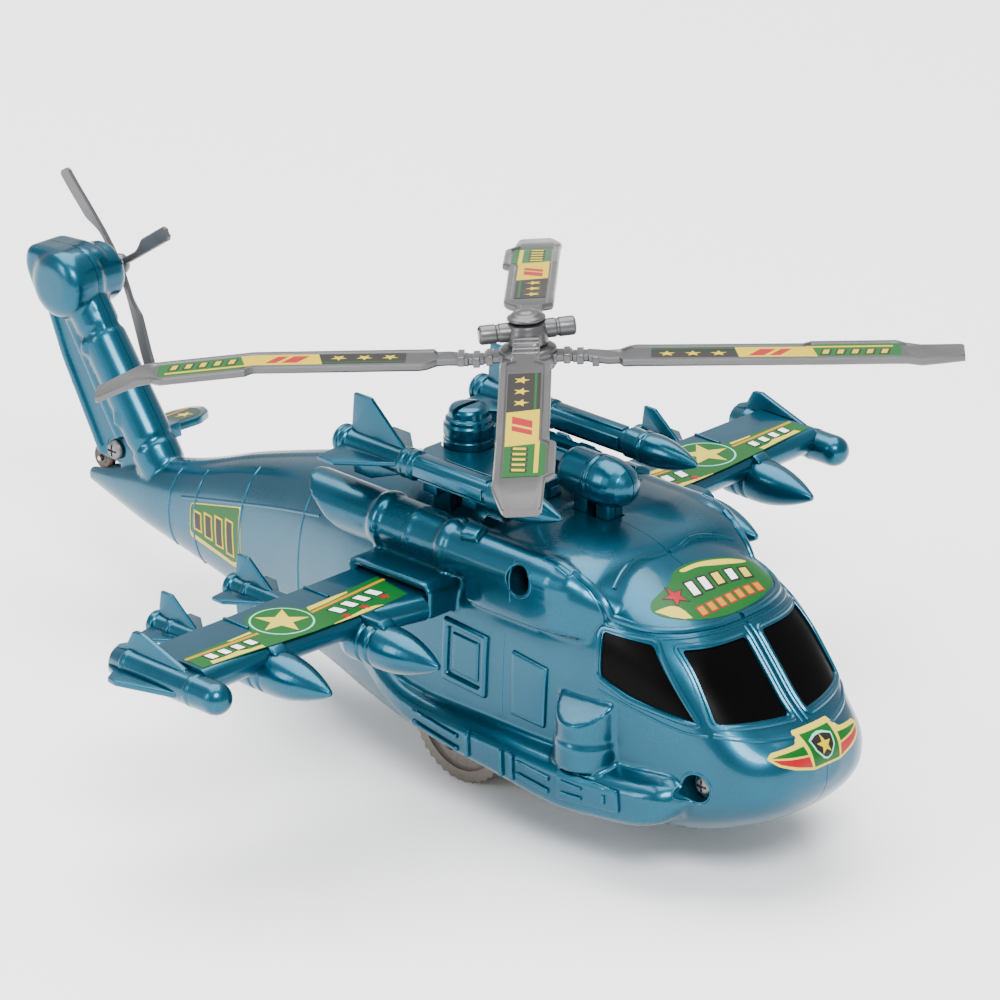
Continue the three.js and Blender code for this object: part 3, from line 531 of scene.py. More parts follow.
def on_skin(view, p, q, skin=None):
    start, way = VIEWS[view]
    start = Vector(start(p, q))
    point, normal, _, _ = (skin or SKIN).ray_cast(start, way)
    if point is None:
        point, normal, _, _ = (skin or SKIN).find_nearest(start + way * 60)
    return point, normal


def split_edges(outline, step):
    """The outline's points with more put in between, at most step apart."""
    out = []
    for a, b in zip(outline, outline[1:] + outline[:1]):
        a, b = Vector(a), Vector(b)
        count = max(1, math.ceil((b - a).length / step))
        out += [a.lerp(b, k / count) for k in range(count)]
    return out


def inside(point, outline):
    hit = False
    for a, b in zip(outline, outline[1:] + outline[:1]):
        if (a[1] > point[1]) != (b[1] > point[1]):
            hit ^= point[0] < (b[0] - a[0]) * (point[1] - a[1]) / (b[1] - a[1]) + a[0]
    return hit


def inset(loop, by):
    """Points at a distance from a loop, on the side away from its outside or its hole's middle."""
    area = sum(a[0] * b[1] - b[0] * a[1] for a, b in zip(loop, loop[1:] + loop[:1]))
    out = []
    for before, here, after in zip(loop[-1:] + loop[:-1], loop, loop[1:] + loop[:1]):
        along = (after - before).normalized()
        out.append(here + Vector((-along[1], along[0])) * (by if area > 0 else -by))
    return out


def sheet(outline, step, holes=(), soft=0.0):
    """Flat points and triangles that fill an outline, with rings of points along a soft rim."""
    loops = [split_edges(list(loop), step) for loop in (outline, *holes)]
    points, edges = [], []
    for loop in loops:
        first = len(points)
        points += loop
        edges += [(first + k, first + (k + 1) % len(loop)) for k in range(len(loop))]
    if soft:
        for number, loop in enumerate(loops):
            for share in (0.3, 0.62, 1.0):
                ring = inset(loop, soft * share * (1 if number == 0 else -1))
                points += [p for p in ring if edge_distance(p, loops) > soft * share * 0.9
                           and inside(p, loops[0]) and not any(inside(p, hole) for hole in loops[1:])]
    low = [min(p[k] for p in loops[0]) for k in (0, 1)]
    high = [max(p[k] for p in loops[0]) for k in (0, 1)]
    for p in np.arange(low[0] + step / 2, high[0], step):
        for q in np.arange(low[1] + step / 2, high[1], step):
            clear = not soft or edge_distance(Vector((p, q)), loops) > soft + step * 0.4
            if clear and inside((p, q), loops[0]) and not any(inside((p, q), hole) for hole in loops[1:]):
                points.append(Vector((p, q)))
    flat, _, triangles, _, _, _ = delaunay_2d_cdt([Vector(p) for p in points], edges, [], 0, 1e-4)
    kept = []
    for tri in triangles:
        middle = sum((flat[k] for k in tri), Vector((0, 0))) / len(tri)
        if inside(middle, loops[0]) and not any(inside(middle, hole) for hole in loops[1:]):
            kept.append(list(tri))
    return flat, kept


def slab_over(flat, triangles, lifted, sunk, name):
    """A closed slab between two lists of points that share one set of triangles."""
    count = len(flat)
    rim = {}
    for tri in triangles:
        for a, b in zip(tri, tri[1:] + tri[:1]):
            rim[(a, b)] = rim.get((a, b), 0) + 1
    edges = [(a, b) for (a, b) in rim if (b, a) not in rim]
    faces = [tuple(tri) for tri in triangles]
    faces += [tuple(count + k for k in reversed(tri)) for tri in triangles]
    faces += [(b, a, count + a, count + b) for a, b in edges]
    return make(name, lifted + sunk, faces)


def edge_distance(point, loops):
    best = 1e9
    for loop in loops:
        for a, b in zip(loop, loop[1:] + loop[:1]):
            a, b = Vector(a), Vector(b)
            along = (b - a)
            t = max(0.0, min(1.0, (point - a).dot(along) / max(along.length_squared, 1e-12)))
            best = min(best, (point - a - along * t).length)
    return best


def patch(outline, view, lift, step=0.8, depth=0.25, soft=0.0, holes=(), skin=None, name="patch"):
    """A closed slab lying on the skin under an outline, raised by lift; soft rounds its rim."""
    flat, triangles = sheet(outline, step, holes, soft)
    loops = [list(outline), *[list(h) for h in holes]]
    lifted, sunk = [], []
    for p in flat:
        at, normal = on_skin(view, p[0], p[1], skin)
        height = lift
        if soft:
            t = min(1.0, edge_distance(p, loops) / soft)
            height = lift * (1 - (1 - t) ** 2)
        lifted.append(at + normal * height)
        sunk.append(at - normal * depth)
    return slab_over(flat, triangles, lifted, sunk, name)


def bead(path, view, radius, closed=True, sink=0.45, step=0.9, skin=None, flatten=1.0, name="bead"):
    """A rounded welt that follows the skin along a path."""
    points = split_edges(list(path), step)
    if not closed:
        last = len(split_edges([path[-1], path[0]], step)) // 2
        points = points[:len(points) - last + 1] if last > 1 else points
        points = [p for p in points]
        points[-1] = Vector(path[-1])
    spots = [on_skin(view, p[0], p[1], skin) for p in points]
    centres = [at - normal * radius * sink for at, normal in spots]
    rings = []
    count = len(centres)
    for k in range(count):
        before = centres[(k - 1) % count] if closed or k else centres[k]
        after = centres[(k + 1) % count] if closed or k + 1 < count else centres[k]
        along = (after - before).normalized()
        up = (spots[k][1] - along * spots[k][1].dot(along)).normalized()
        side = along.cross(up)
        rings.append([centres[k] + up * radius * flatten * math.sin(a) + side * radius * math.cos(a)
                      for a in np.linspace(0, 2 * math.pi, 10, endpoint=False)])
    if not closed:
        return loft([[tuple(p) for p in ring] for ring in rings], name)
    verts = [p for ring in rings for p in ring]
    faces = [(r * 10 + k, r * 10 + (k + 1) % 10, ((r + 1) % count) * 10 + (k + 1) % 10,
              ((r + 1) % count) * 10 + k)
             for r in range(count) for k in range(10)]
    return make(name, verts, faces)


def curve(points, count=40, closed=False):
    """A smooth path through points."""
    pts = np.array(points, float)
    if closed:
        pts = np.vstack([pts[-1:], pts, pts[:2]])
    else:
        pts = np.vstack([2 * pts[0] - pts[1], pts, 2 * pts[-1] - pts[-2]])
    spans = len(pts) - 3
    out = []
    for t in np.linspace(0, spans, count, endpoint=not closed):
        k = min(int(t), spans - 1)
        s = t - k
        a, b, c, d = pts[k:k + 4]
        square, cube = (2 * a - 5 * b + 4 * c - d) * s**2, (3 * b - a - 3 * c + d) * s**3
        out.append(Vector(0.5 * (2 * b + (c - a) * s + square + cube)))
    return out


def star(at, radius, points=5, turn=90.0, inner=0.42, squash=(1, 1)):
    out = []
    for k in range(2 * points):
        angle = math.radians(turn + 180 * k / points)
        reach = radius * (1 if k % 2 == 0 else inner)
        out.append(Vector((at[0] + squash[0] * reach * math.cos(angle),
                           at[1] + squash[1] * reach * math.sin(angle))))
    return out


def oval(at, a, b, count=40, turn=0.0):
    out = []
    for k in range(count):
        t = 2 * math.pi * k / count
        x, y = a * math.cos(t), b * math.sin(t)
        c, s = math.cos(math.radians(turn)), math.sin(math.radians(turn))
        out.append(Vector((at[0] + x * c - y * s, at[1] + x * s + y * c)))
    return out


def resized(outline, by):
    """The outline pushed outwards from its middle."""
    middle = sum((Vector(p) for p in outline), Vector((0, 0))) / len(outline)
    return [Vector(p) + (Vector(p) - middle).normalized() * by for p in outline]


def flipped(outline):
    return [Vector((-p[0], p[1])) for p in outline]


# ---- openings, hollow and halves ----
WINDSHIELD = [(3, -56.2), (20.8, -56), (22.2, -71.6), (3, -72.8)]
SIDE_WINDOW = [(-53.3, -54.6), (-67, -55.4), (-82.2, -71.8), (-76.3, -71), (-63.4, -68.7), (-54.6, -66)]
SCREWS = {"side": (-29.6, -46.4, 27), "nose": (-83.2, -88.6, 22), "tail": (152.6, -71.2, 2.6)}
WHEEL_AT = Vector((0, 7.1, -101.2))
TAIL_WHEEL_AT = (0, 160.3, -76.2)
MAST_WAY = (ROTOR_TILT.to_3x3() @ Z).normalized()

hollow = hull_solid(1.7, -100.5, 120, "hollow")
for y, z, _ in list(SCREWS.values())[:2]:
    cut(hollow, rod(5.4, -40, 40, (0, y, z), X, 32, 0))
cut(hollow, rod(5, -70, -30, (0, 0, 0), MAST_WAY, 32, 0))
body = copy_of(outer, "body")
cutters = [hollow]
for side in (1, -1):
    front = [(side * p[0], p[1]) for p in rounded(WINDSHIELD, 1.1)]
    cutters.append(prism(front, -112, -66, "Y"))
    cutters.append(prism(rounded(SIDE_WINDOW, 1.2), *sorted((side * 22.6, side * 42)), "X"))
    cutters.append(block((side * 15.6 - 3.4, -11.9, -125), (side * 15.6 + 3.4, 26.1, -82.2), 0.6))
    cutters.append(block((side * 18.5 - 1.8, 7.7, -50), (side * 18.5 + 1.8, 14.3, -36), 0))
cutters += [
    rod(1.9, -72, 4, (0, 0, 0), MAST_WAY, 32, 0),
    block((-12.1, -36, -125), (12.1, 26, -104), 0.5),
    block((-1.8, 155.7, -80.8), (1.8, 190, -71.8), 0),
    rod(0.9, -6, 6, TAIL_WHEEL_AT, X, 20, 0),
    rod(1.3, -4, 20, (0, TAIL_HUB.y, TAIL_HUB.z), X, 20, 0),
    block((-3.3, -31.3, -44), (3.3, -18.7, -36), 0),
]
for y, z, depth in SCREWS.values():
    cutters.append(turned([(0, -45), (3.9, -45), (3.7, -depth - 3), (3.7, -depth), (0, -depth)], (0, y, z),
                          X, 48, 0.1))
    cutters.append(rod(1.6, -45, 1, (0, y, z), X, 20, 0))
    cutters.append(turned([(0, 0), (1.5, 0), (1.5, min(depth, 9) + 1), (0, min(depth, 9) + 1)], (0, y, z),
                          X, 20, 0))
for cutter in cutters:
    cut(body, cutter)
body_port, body_starboard = body, copy_of(body, "far")
cut(body_port, block((-90, -130, -130), (0.09, 210, 10), 0))
cut(body_starboard, block((-0.09, -130, -130), (90, 210, 10), 0))


drop(outer)


# ---- raised details of one side ----
def side_details():
    view, parts = "starboard", []
    parts.append(bead(rounded(resized(SIDE_WINDOW, 1.3), 1.6), view, 0.85, flatten=1.1))
    parts.append(bead(flipped(rounded(resized(WINDSHIELD, 1.2), 1.5)), "front", 0.8, flatten=1.1))
    brow = [(-27.6, -43), (-26.4, -50), (-25.2, -57), (-23.4, -62.8), (-20.2, -67.8), (-15.6, -71.2),
            (-8.6, -73.2), (-0.6, -73.7)]
    parts.append(bead(curve(brow, 50), "top", 1.15, closed=False, flatten=1.2))
    lower = [(-28.2, -46), (-27.3, -52), (-26.2, -58.8), (-24.4, -64.6), (-21, -69.5), (-16.2, -73),
             (-9, -75), (-0.6, -75.5)]
    parts.append(bead(curve(lower, 50), "top", 0.5, closed=False))
    parts.append(bead([(-0.95, -54.6), (-0.95, -74.4)], "front", 0.6, closed=False))
    parts.append(bead(curve([(-23.4, -74), (-16, -75.4), (-8, -76), (-7, -76)], 30), "front", 0.8,
                      closed=False))
    parts.append(bead(curve([(-54, -69.4), (-66, -72), (-78, -74.2), (-85.5, -74.4)], 30), view, 0.4,
                      closed=False))
    door = [(-1.2, -64.9), (-17.1, -66), (-16.4, -83.5), (-0.6, -82.4)]
    recess = [(-3.4, -67.2), (-14.9, -67.9), (-14.4, -80.9), (-2.8, -80)]
    parts.append(patch(rounded(door, 1), view, 1.0, 0.7, 0.3, 0.7, [rounded(recess, 0.8)]))
    parts.append(patch(rounded([(-4.4, -68.3), (-13.9, -68.9), (-13.5, -79.8), (-3.9, -79)], 0.6), view,
                       0.5, 0.8, 0.3, 0.5))
    parts.append(patch(rounded([(-25.3, -66.9), (-37.7, -68.4), (-36.9, -85.3), (-25.1, -84.8)], 1), view,
                       0.85, 0.8, 0.3, 0.7))
    parts.append(bead([(-22.2, -64), (-21.6, -86)], view, 0.3, closed=False))
    tray = [(-47.2, -90.8), (-66.6, -91.2), (-67, -97.2), (-47.2, -98.8)]
    parts.append(patch(rounded(tray, 0.7), view, 1.1, 0.6, 0.3, 0.5))
    bars = [
        ([(-49, -92.6), (-49, -93.9), (-56, -94), (-56, -92.7)], 1.7),
        ([(-49, -95.6), (-49, -96.9), (-56, -96.6), (-56, -95.3)], 1.7),
        ([(-62, -92.8), (-63.3, -92.8), (-63.3, -95.6), (-62, -95.6)], 1.7),
        ([(5.6, -91.3), (5.6, -92.7), (-11.4, -94.3), (-11.4, -92.9)], 0.8),
        ([(5.7, -94.3), (5.7, -95.6), (-11.4, -97.8), (-11.4, -96.4)], 0.8),
        ([(-32.8, -92.9), (-32.8, -94.3), (-44.4, -95.2), (-44.4, -93.8)], 0.8),
        ([(-32.8, -96.2), (-32.8, -97.6), (-44.1, -98.7), (-44.1, -97.3)], 0.8),
        ([(-14.2, -90.9), (-15.6, -90.9), (-15.6, -98.1), (-14.2, -98)], 0.9),
        ([(-26.6, -92), (-28, -92), (-28, -99.3), (-26.6, -99.2)], 0.9),
        ([(-30.4, -91.8), (-31.8, -91.8), (-31.8, -99.2), (-30.4, -99.1)], 0.9),
    ]
    parts += [patch(rounded(bar, 0.3, 2), view, lift, 0.5, 0.3, 0.35) for bar, lift in bars]
    parts.append(patch(rounded([(-32.3, -7.4), (-25.9, -5.4), (-26.8, -12.6), (-31.7, -13.6)], 0.8), "top",
                       1.5, 0.5, 0.3, 0.9))
    parts.append(bead(rounded([(-29.6, -34), (-28.2, -34), (-28.2, -43), (-29.6, -43)], 0.6), "top", 0.35,
                      step=0.6))
    parts.append(bead(curve([(-0.7, -49), (-5, -48.7), (-10, -47.8), (-16, -49), (-22, -51.4)], 30), "top",
                      0.8, closed=False, flatten=0.9))
    parts.append(bead(curve([(55, -57.2), (75, -62), (100, -68.6), (120, -74)], 50), view, 0.6,
                      closed=False, flatten=0.8))
    for y, top, low in ((62, -50.4, -98), (91, -57.6, -95), (113, -65.2, -91.6), (125, -68.6, -90)):
        parts.append(bead([(y, top), (y + 0.6, (top + low) / 2), (y, low)], view, 0.62, closed=False,
                          flatten=0.9))
    parts.append(bead(curve([(-27, -42), (-26.6, -47), (-27, -52.6)], 16), view, 0.3, closed=False))
    parts.append(bead(oval((-29.6, -46.4), 4.3, 4.3), view, 0.4))
    parts.append(bead(oval((-83.2, -88.6), 4.3, 4.3), view, 0.35))
    return merged(parts, "details")


details = side_details()
far_details = mirrored(details, "far_details")
moulded_halves = ((body_starboard, details, "body_starboard_moulding", "body_shell_starboard"),
                  (body_port, far_details, "body_port_moulding", "body_shell_port"))
for half, extra, name, node in moulded_halves:
    piece(merged([half, extra], name), name, "airframe", TEAL, [node])

for side, place in ((-1, "starboard"), (1, "port")):
    glass = [Vector((side * p[0], p[1])) for p in rounded(resized(WINDSHIELD, -0.2), 1.1)]
    pane = patch(glass, "front", -0.45, 1.4, 1.4)
    piece(pane, f"windshield_pane_{place}", "airframe", BLACK, [f"windshield_{place}"])
    pane = patch(rounded(resized(SIDE_WINDOW, -0.2), 1.1), place, -0.45, 1.4, 1.4)
    piece(pane, f"side_pane_{place}", "airframe", BLACK, [f"side_window_{place}"])

for place, (y, z, depth) in SCREWS.items():
    head = -depth - 0.3
    reach = min(depth, 9)
    screw = turned([(0, head - 1.9), (1.7, head - 1.7), (2.5, head - 1.1), (2.8, head - 0.4), (2.8, head),
                    (1.2, head),
                    (1.2, reach - 2), (0, reach - 0.6)], (0, y, z), X, 32, 0.15)
    for dy, dz in ((1.7, 0.32), (0.32, 1.7)):
        cut(screw, block((head - 3, y - dy, z - dz), (head - 1, y + dy, z + dz), 0))
    piece(screw, f"body_screw_{place}", "airframe", SCREW, [f"screw_{place}"])


def lay(layers, view, label, body_name="airframe", skin=None, tilt=False, turn=0.0):
    """Builds stacked sticker layers, one object for each ink and level."""
    groups = {}
    for level, outline, ink in layers:
        part = patch([Vector(p) for p in outline], view, 0.09 + 0.05 * level, 0.8, 0.1, skin=skin)
        if turn:
            spun(part, turn)
        groups.setdefault((level, ink.name), []).append((part, ink))
    for (level, ink_name), parts in groups.items():
        obj = merged([part for part, _ in parts], label)
        piece(obj, f"{label}_{ink_name}_{level}", body_name, parts[0][1], tilt=tilt)


def slanted(at, width, height, lean=0.0, turn=0.0):
    """A leaning bar, as a stand-in for a printed sign."""
    c, s = math.cos(math.radians(turn)), math.sin(math.radians(turn))
    corners = [(-width / 2, -height / 2), (width / 2, -height / 2), (width / 2 + lean, height / 2),
               (-width / 2 + lean, height / 2)]
    return [Vector((at[0] + p * c - q * s, at[1] + p * s + q * c)) for p, q in corners]


# Roof sticker, laid from above; x, y.
roof = curve([(-3.6, -54.8), (4, -54.6), (12, -56.4), (19.4, -59), (22.2, -63), (18, -68), (10, -71.4),
              (0.9, -72.3), (-6, -71.9),
              (-12.6, -69.8), (-17.6, -65.8), (-19.3, -62), (-17.8, -59.9), (-13.6, -59), (-9.2, -57.8)],
              90, True)
roof_layers = [(0, roof, GREEN)]
roof_layers.append((1, curve([(-2.4, -55.4), (4, -55.3), (11, -56.8), (17.6, -59), (15, -59.6), (9, -58.4),
        (3, -56.6), (-2, -56.4)], 50, True), CREAM))
roof_layers.append((1, [(-19, -62.4), (-16.6, -63), (-14.6, -63.6), (-13.2, -64.8), (-12.7, -66.6),
                        (-12.6, -69.2), (-14.6, -68.4), (-17, -66)], CREAM))
roof_layers += [(1, star((-11.2, -62), 3.9), CHARCOAL), (2, star((-11.2, -62), 3.1), RED)]
for k, (x, y) in enumerate([(-5.2, -61.9), (-0.6, -61.8), (4, -61.9), (8.6, -62.2), (13, -62.9)]):
    roof_layers.append((1, slanted((x, y), 3.5, 5.6 - 0.3 * k, 1, -4), CHARCOAL))
    roof_layers.append((2, slanted((x, y), 2.3, 4.4 - 0.3 * k, 0.8, -4), CREAM if k in (2, 4) else PAPER))
for k in range(7):
    roof_layers.append((1, slanted((-8.6 + 3.5 * k, -68.7 + 0.1 * k), 2.6, 3.1, 0.4), RED))
    roof_layers.append((2, slanted((-8.6 + 3.5 * k, -68.7 + 0.1 * k), 1.9, 2.4, 0.3), AMBER))
lay(roof_layers, "top", "roof_sticker")

# Nose emblem, laid from the front; x, z.
shield = [(-4, -77.3), (-1.8, -76.5), (0, -76.3), (1.8, -76.5), (4, -77.3), (3.4, -79.6), (1.4, -81.8),
          (0, -82.3), (-1.4, -81.8), (-3.4, -79.6)]
emblem = [(0, rounded([(-16.4, -79.2), (-14.8, -78), (-8, -77.2), (-7.2, -76.4), (-6.4, -75), (6.4, -75),
                       (7.2, -76.4), (8, -77.2),
                       (14.8, -78), (16.4, -79.2), (14.4, -81), (10.5, -82.5), (4.8, -83.9), (-4.8, -83.9),
                       (-10.5, -82.5),
                       (-14.4, -81)], 0.5, 3), CREAM),
          (1, [(-5.2, -75.9), (5.2, -75.9), (4.5, -83.2), (-4.5, -83.2)], GREEN),
          (2, shield, CYAN), (3, resized(shield, -0.5), CHARCOAL),
          (4, star((0, -79), 2.4, squash=(1, 0.9)), YELLOW)]
for side in (-1, 1):
    emblem.append((1, [(side * 15.3, -79.1), (side * 13.4, -78.7), (side * 6.2, -77.9),
                       (side * 5.9, -79.8), (side * 11, -79.5)][::side], GREEN))
    emblem.append((1, [(side * 15.2, -79.5), (side * 11, -80), (side * 5.8, -80.3), (side * 5.2, -83.1),
                       (side * 9.5, -82), (side * 13.8, -80.6)][::side], RED))
lay(emblem, "front", "nose_emblem")

# Boom sticker on both sides; y, z.
for place in ("starboard", "port"):
    boom = [(0, rounded([(115.2, -73.9), (91, -67.2), (90.9, -84), (94.5, -85.4), (115.2, -83.4)], 1.2),
             CREAM),
            (1, rounded([(114.9, -74.1), (92.1, -67.8), (92.1, -82.9), (95, -84.1), (114.9, -82)], 1),
             GREEN)]
    for k in range(4):
        at = (111.2 - 5.1 * k, -77.9 + 0.15 * k)
        boom.append((2, slanted(at, 3.9, 5.6 + 1.5 * k, 0.5), YELLOW))
        boom.append((3, slanted(at, 2.6, 4.4 + 1.5 * k, 0.4), CHARCOAL))
    lay(boom, place, f"boom_sticker_{place}")


def skin_of(obj):
    return BVHTree.FromPolygons([v.co for v in obj.data.vertices], [p.vertices for p in obj.data.polygons])


def united(objects, name="united"):
    """Overlapping closed solids joined into one."""
    base = objects[0]
    for other in objects[1:]:
        boolean(base, other, "UNION")
    base.name = name
    return base


def ogive(tip, length, radius, steps=10):
    out = [(0, tip), (radius * 0.13, tip + 0.12)]
    for k in range(1, steps + 1):
        t = k / steps
        out.append((radius * (0.16 + 0.84 * math.sin(t * math.pi / 2) ** 0.85),
                    tip + 0.6 + (length - 0.6) * t))
    return out


def fin_set(at, rear, inner, outer_reach, root, lowest, thick=1.1, turns=(0, 90, 180, 270)):
    parts = []
    for turn in turns:
        reach = lowest if turn == 180 else outer_reach
        outline = [(rear - root, inner - 1), (rear - root, inner), (rear - root * 0.36, reach),
                   (rear - 0.8, reach),
                   (rear, inner + 1), (rear, inner - 1)]
        fin = prism(outline, -thick / 2, thick / 2, "X", 0.28)
        parts.append(spun(fin, turn, "Y"))
        fin.data.transform(Matrix.Translation(Vector(at)))
    return parts


# ---- wings ----
WING_TOP = -55.8


def underwing_missile(x, tip, tail):
    at = (x, 0, -63.2)
    shape = turned([
        *ogive(tip, 18, 5.9), (5.9, tip + 19.4), (5.45, tip + 19.8), (5.45, tip + 20.4), (5.9, tip + 20.8),
        (5.9, tip + 22.6),
        (5.45, tip + 23), (5.45, tip + 23.6), (5.9, tip + 24), (5.9, tip + 28), (5.2, tip + 30),
        (3.2, tip + 33),
        (3, tip + 34.6), (3, 24), (3.5, 24.4), (3.5, 26.4), (3, 26.8), (3, tail - 9), (3.3, tail - 8.6),
        (3.3, tail - 7.4),
        (3, tail - 7), (3, tail - 3.4), (3.5, tail - 3), (3.5, tail - 1.2), (2.4, tail - 0.3), (0, tail),
    ], at, Y, 48, 0.3)
    saddle = prism([(tip + 17, -62), (tip + 17, -57.2), (tip + 19, -55.9), (16, -55.9), (18, -58),
                    (18, -62)], x - 2.4, x + 2.4, "X", 0.6)
    return [shape, saddle, *fin_set(at, tail - 3, 3, 9.6, 13, 9.6)]


def wing_parts():
    rings = []
    stations = smooth_table([(42, -6.6), (50, -4.6), (60, -2.2), (72, -0.6), (112, 0)],
                            np.linspace(42, 112, 60))
    for x, leading in stations:
        middle, radius = WING_TOP - 3.4, 3.4
        ring = [(leading + radius + radius * math.cos(a), middle + radius * math.sin(a))
                for a in np.linspace(math.pi / 2, 1.5 * math.pi, 17)]
        ring += [(leading + 7, middle - 3.4), (leading + 7.9, middle - 2.9),
                 (leading + 8.6, WING_TOP - 4.6), (leading + 9.6, WING_TOP - 4),
                 (20.4, WING_TOP - 3.3), (21.6, WING_TOP - 3), (22, WING_TOP - 2.6), (22, WING_TOP - 0.5),
                 (21.5, WING_TOP)]
        rings.append([(x, y, z) for y, z in ring])
    plate = loft(rings)
    parts = [plate, block((35.5, -3.5, -60.7), (44, 20.5, -55.9), 0)]
    at = (113.4, 0, -61)
    nose = [(4.2 * math.sin(a), -8.2 + 4.2 * (1 - math.cos(a))) for a in np.linspace(0, math.pi / 2, 9)]
    parts.append(turned([*nose, (4.2, 2), (4.35, 2.3), (4.35, 3.4), (4.2, 3.7), (4.2, 25), (4.35, 25.3),
                         (4.35, 26.4), (4.1, 26.8),
                         (3.4, 31), (0, 31)], at, Y, 48, 0.2))
    outline = [(5.5, 3.4), (6.5, 4.6), (22, 9.6), (25, 9.2), (27, 5.6), (30, 4.4), (32, 2.6), (32, 0),
               (5.5, 0)]
    for turn, drop_z in ((0, 0), (90, -1)):
        fin = spun(prism(outline, -0.75, 0.75, "X", 0.3), turn, "Y")
        fin.data.transform(Matrix.Translation((at[0], 0, at[2] + drop_z)))
        parts.append(fin)
    parts += underwing_missile(58.5, -26.4, 49.4) + underwing_missile(88.5, -18.8, 45.6)
    for x in (58.6, 86.4):
        parts.append(block((x - 0.45, 12.6, WING_TOP - 1), (x + 0.45, 21.6, WING_TOP + 0.45), 0.2))
    for x in (70, 101):
        parts.append(block((x - 5.5, 3.2, -63.4), (x + 5.5, 5.4, -61), 0.4))
    return parts


wing = united(wing_parts(), "wing")
moulding(mirrored(wing, "far"), "wing_starboard")
moulding(wing, "wing_port")


def flat_layers(layers, z, label, sides=(1,), move=None):
    """Sticker layers on a flat face."""
    groups = {}
    for level, outline, ink in layers:
        for side in sides:
            points = [Vector((side * p[0], p[1])) for p in outline]
            part = prism(points, z - 0.05, z + 0.1 + 0.05 * level, "Z")
            if move:
                part.data.transform(move)
            groups.setdefault((level, ink.name), []).append((part, ink))
    for (level, ink_name), parts in groups.items():
        obj = merged([part for part, _ in parts], label)
        piece(obj, f"{label}_{ink_name}_{level}", "airframe", parts[0][1], flat=True)


ring_at = (77.6, 9.8)
bulge = [(ring_at[0] + 9.2 * math.cos(math.radians(a)),
          ring_at[1] + 9.2 * math.sin(math.radians(a))) for a in range(8, 174, 7)]
wing_sheet = [(43.4, -0.2), (52.4, -1.1), (76, -0.4), (92, 1.2), (111, 3), (110.6, 10.5), (99, 10.9),
              (86.7, 11.1),
              *bulge[1:-1], (68.4, 11.9), (57.8, 12.2), (48, 12.8), (41, 13.3)]
wing_layers = [
    (0, wing_sheet, GREEN),
    (1, oval(ring_at, 8.3, 8.3), CYAN), (2, oval(ring_at, 7.8, 7.8), GREEN),
    (3, star(ring_at, 7.2, turn=134, inner=0.4), CREAM),
    (1, [(41, 11.2), (41, 10.2), (68.6, 8), (68.6, 9)], AMBER),
    (1, [(87, 9), (87, 8), (110.8, 8.9), (110.8, 9.9)], AMBER),
    (1, [(67.3, 11.6), (57, 11.9), (53.2, 11.7), (53.6, 11), (60.9, 10.1), (68.2, 9.7)], CREAM),
    (1, [(96, 10.4), (88, 10.7), (88, 9.7), (95, 9.8)], CREAM),
    (1, [(69.5, -0.6), (64, -0.9), (57, -1), (52.4, -0.9), (54.4, 0.2), (57.5, 0.8), (61, 0.2),
         (65, -0.2)], CREAM),
    (1, [(107.6, 2.9), (99, 2.2), (91.4, 1.3), (91.2, 2.8), (95, 3), (98, 4.3), (103, 4), (107, 4.6)],
     CREAM),
]
for x, y in ((63.9, 0.7), (56.9, 1.4), (48.8, 2.7)):
    wing_layers.append((2, star((x, y), 1.6, turn=30), RED))
for k in range(4):
    at = (62.8 - 4.7 * k, 4.9 + 0.5 * k)
    wing_layers += [(1, slanted(at, 3.1, 4.6, 0.6, -6), CHARCOAL),
                    (2, slanted(at, 2.3, 3.7, 0.5, -6), PAPER)]
    at = (104.6 - 4.2 * k, 6.4 - 0.25 * k)
    wing_layers += [(2, slanted(at, 2.8, 3.6, 0.5, 4), CHARCOAL), (3, slanted(at, 2.1, 2.8, 0.4, 4), PAPER)]
flat_layers(wing_layers, WING_TOP, "wing_sticker", (-1, 1))

# ---- stabiliser ----
plan = [(0, -7), (13, -8), (19, -4.6), (22, 0.6), (20.6, 4.6), (16, 7), (0, 9)]
LEAN = Matrix.Translation((3.3, 147, -66)) @ Matrix.Rotation(math.radians(-12), 4, "X")
tailplane = united([prism(rounded(plan, 1.4), -1.1, 1.1, "Z", 0.4),
                    block((0, -8, -2.4), (5.5, 19, 1.6), 0.4),
                    block((5.4, -7.4, 0.9), (6.6, 8.4, 1.5), 0.2)], "tailplane")
tailplane.data.transform(LEAN)
cheek = united(tail_fin(), "cheek")
cut(tailplane, spun(cheek, 0))
piece(tailplane, "stabiliser_moulding", "airframe", TEAL, ["stabiliser_port"])
flat_layers([(0, rounded([(7.2, -5.4), (13, -5.9), (17.4, -3.4), (19.4, 0.8), (18.4, 3.6), (15, 5.2),
        (7.2, 6.2)], 0.8), DEEP_GREEN),
             (1, [(7.4, 2.2), (7.4, 3.2), (18, 3.4), (18.4, 2.6)], AMBER),
             (1, star((12.6, -1.6), 2.7), CREAM)],
            1.1, "stabiliser_sticker", move=LEAN)

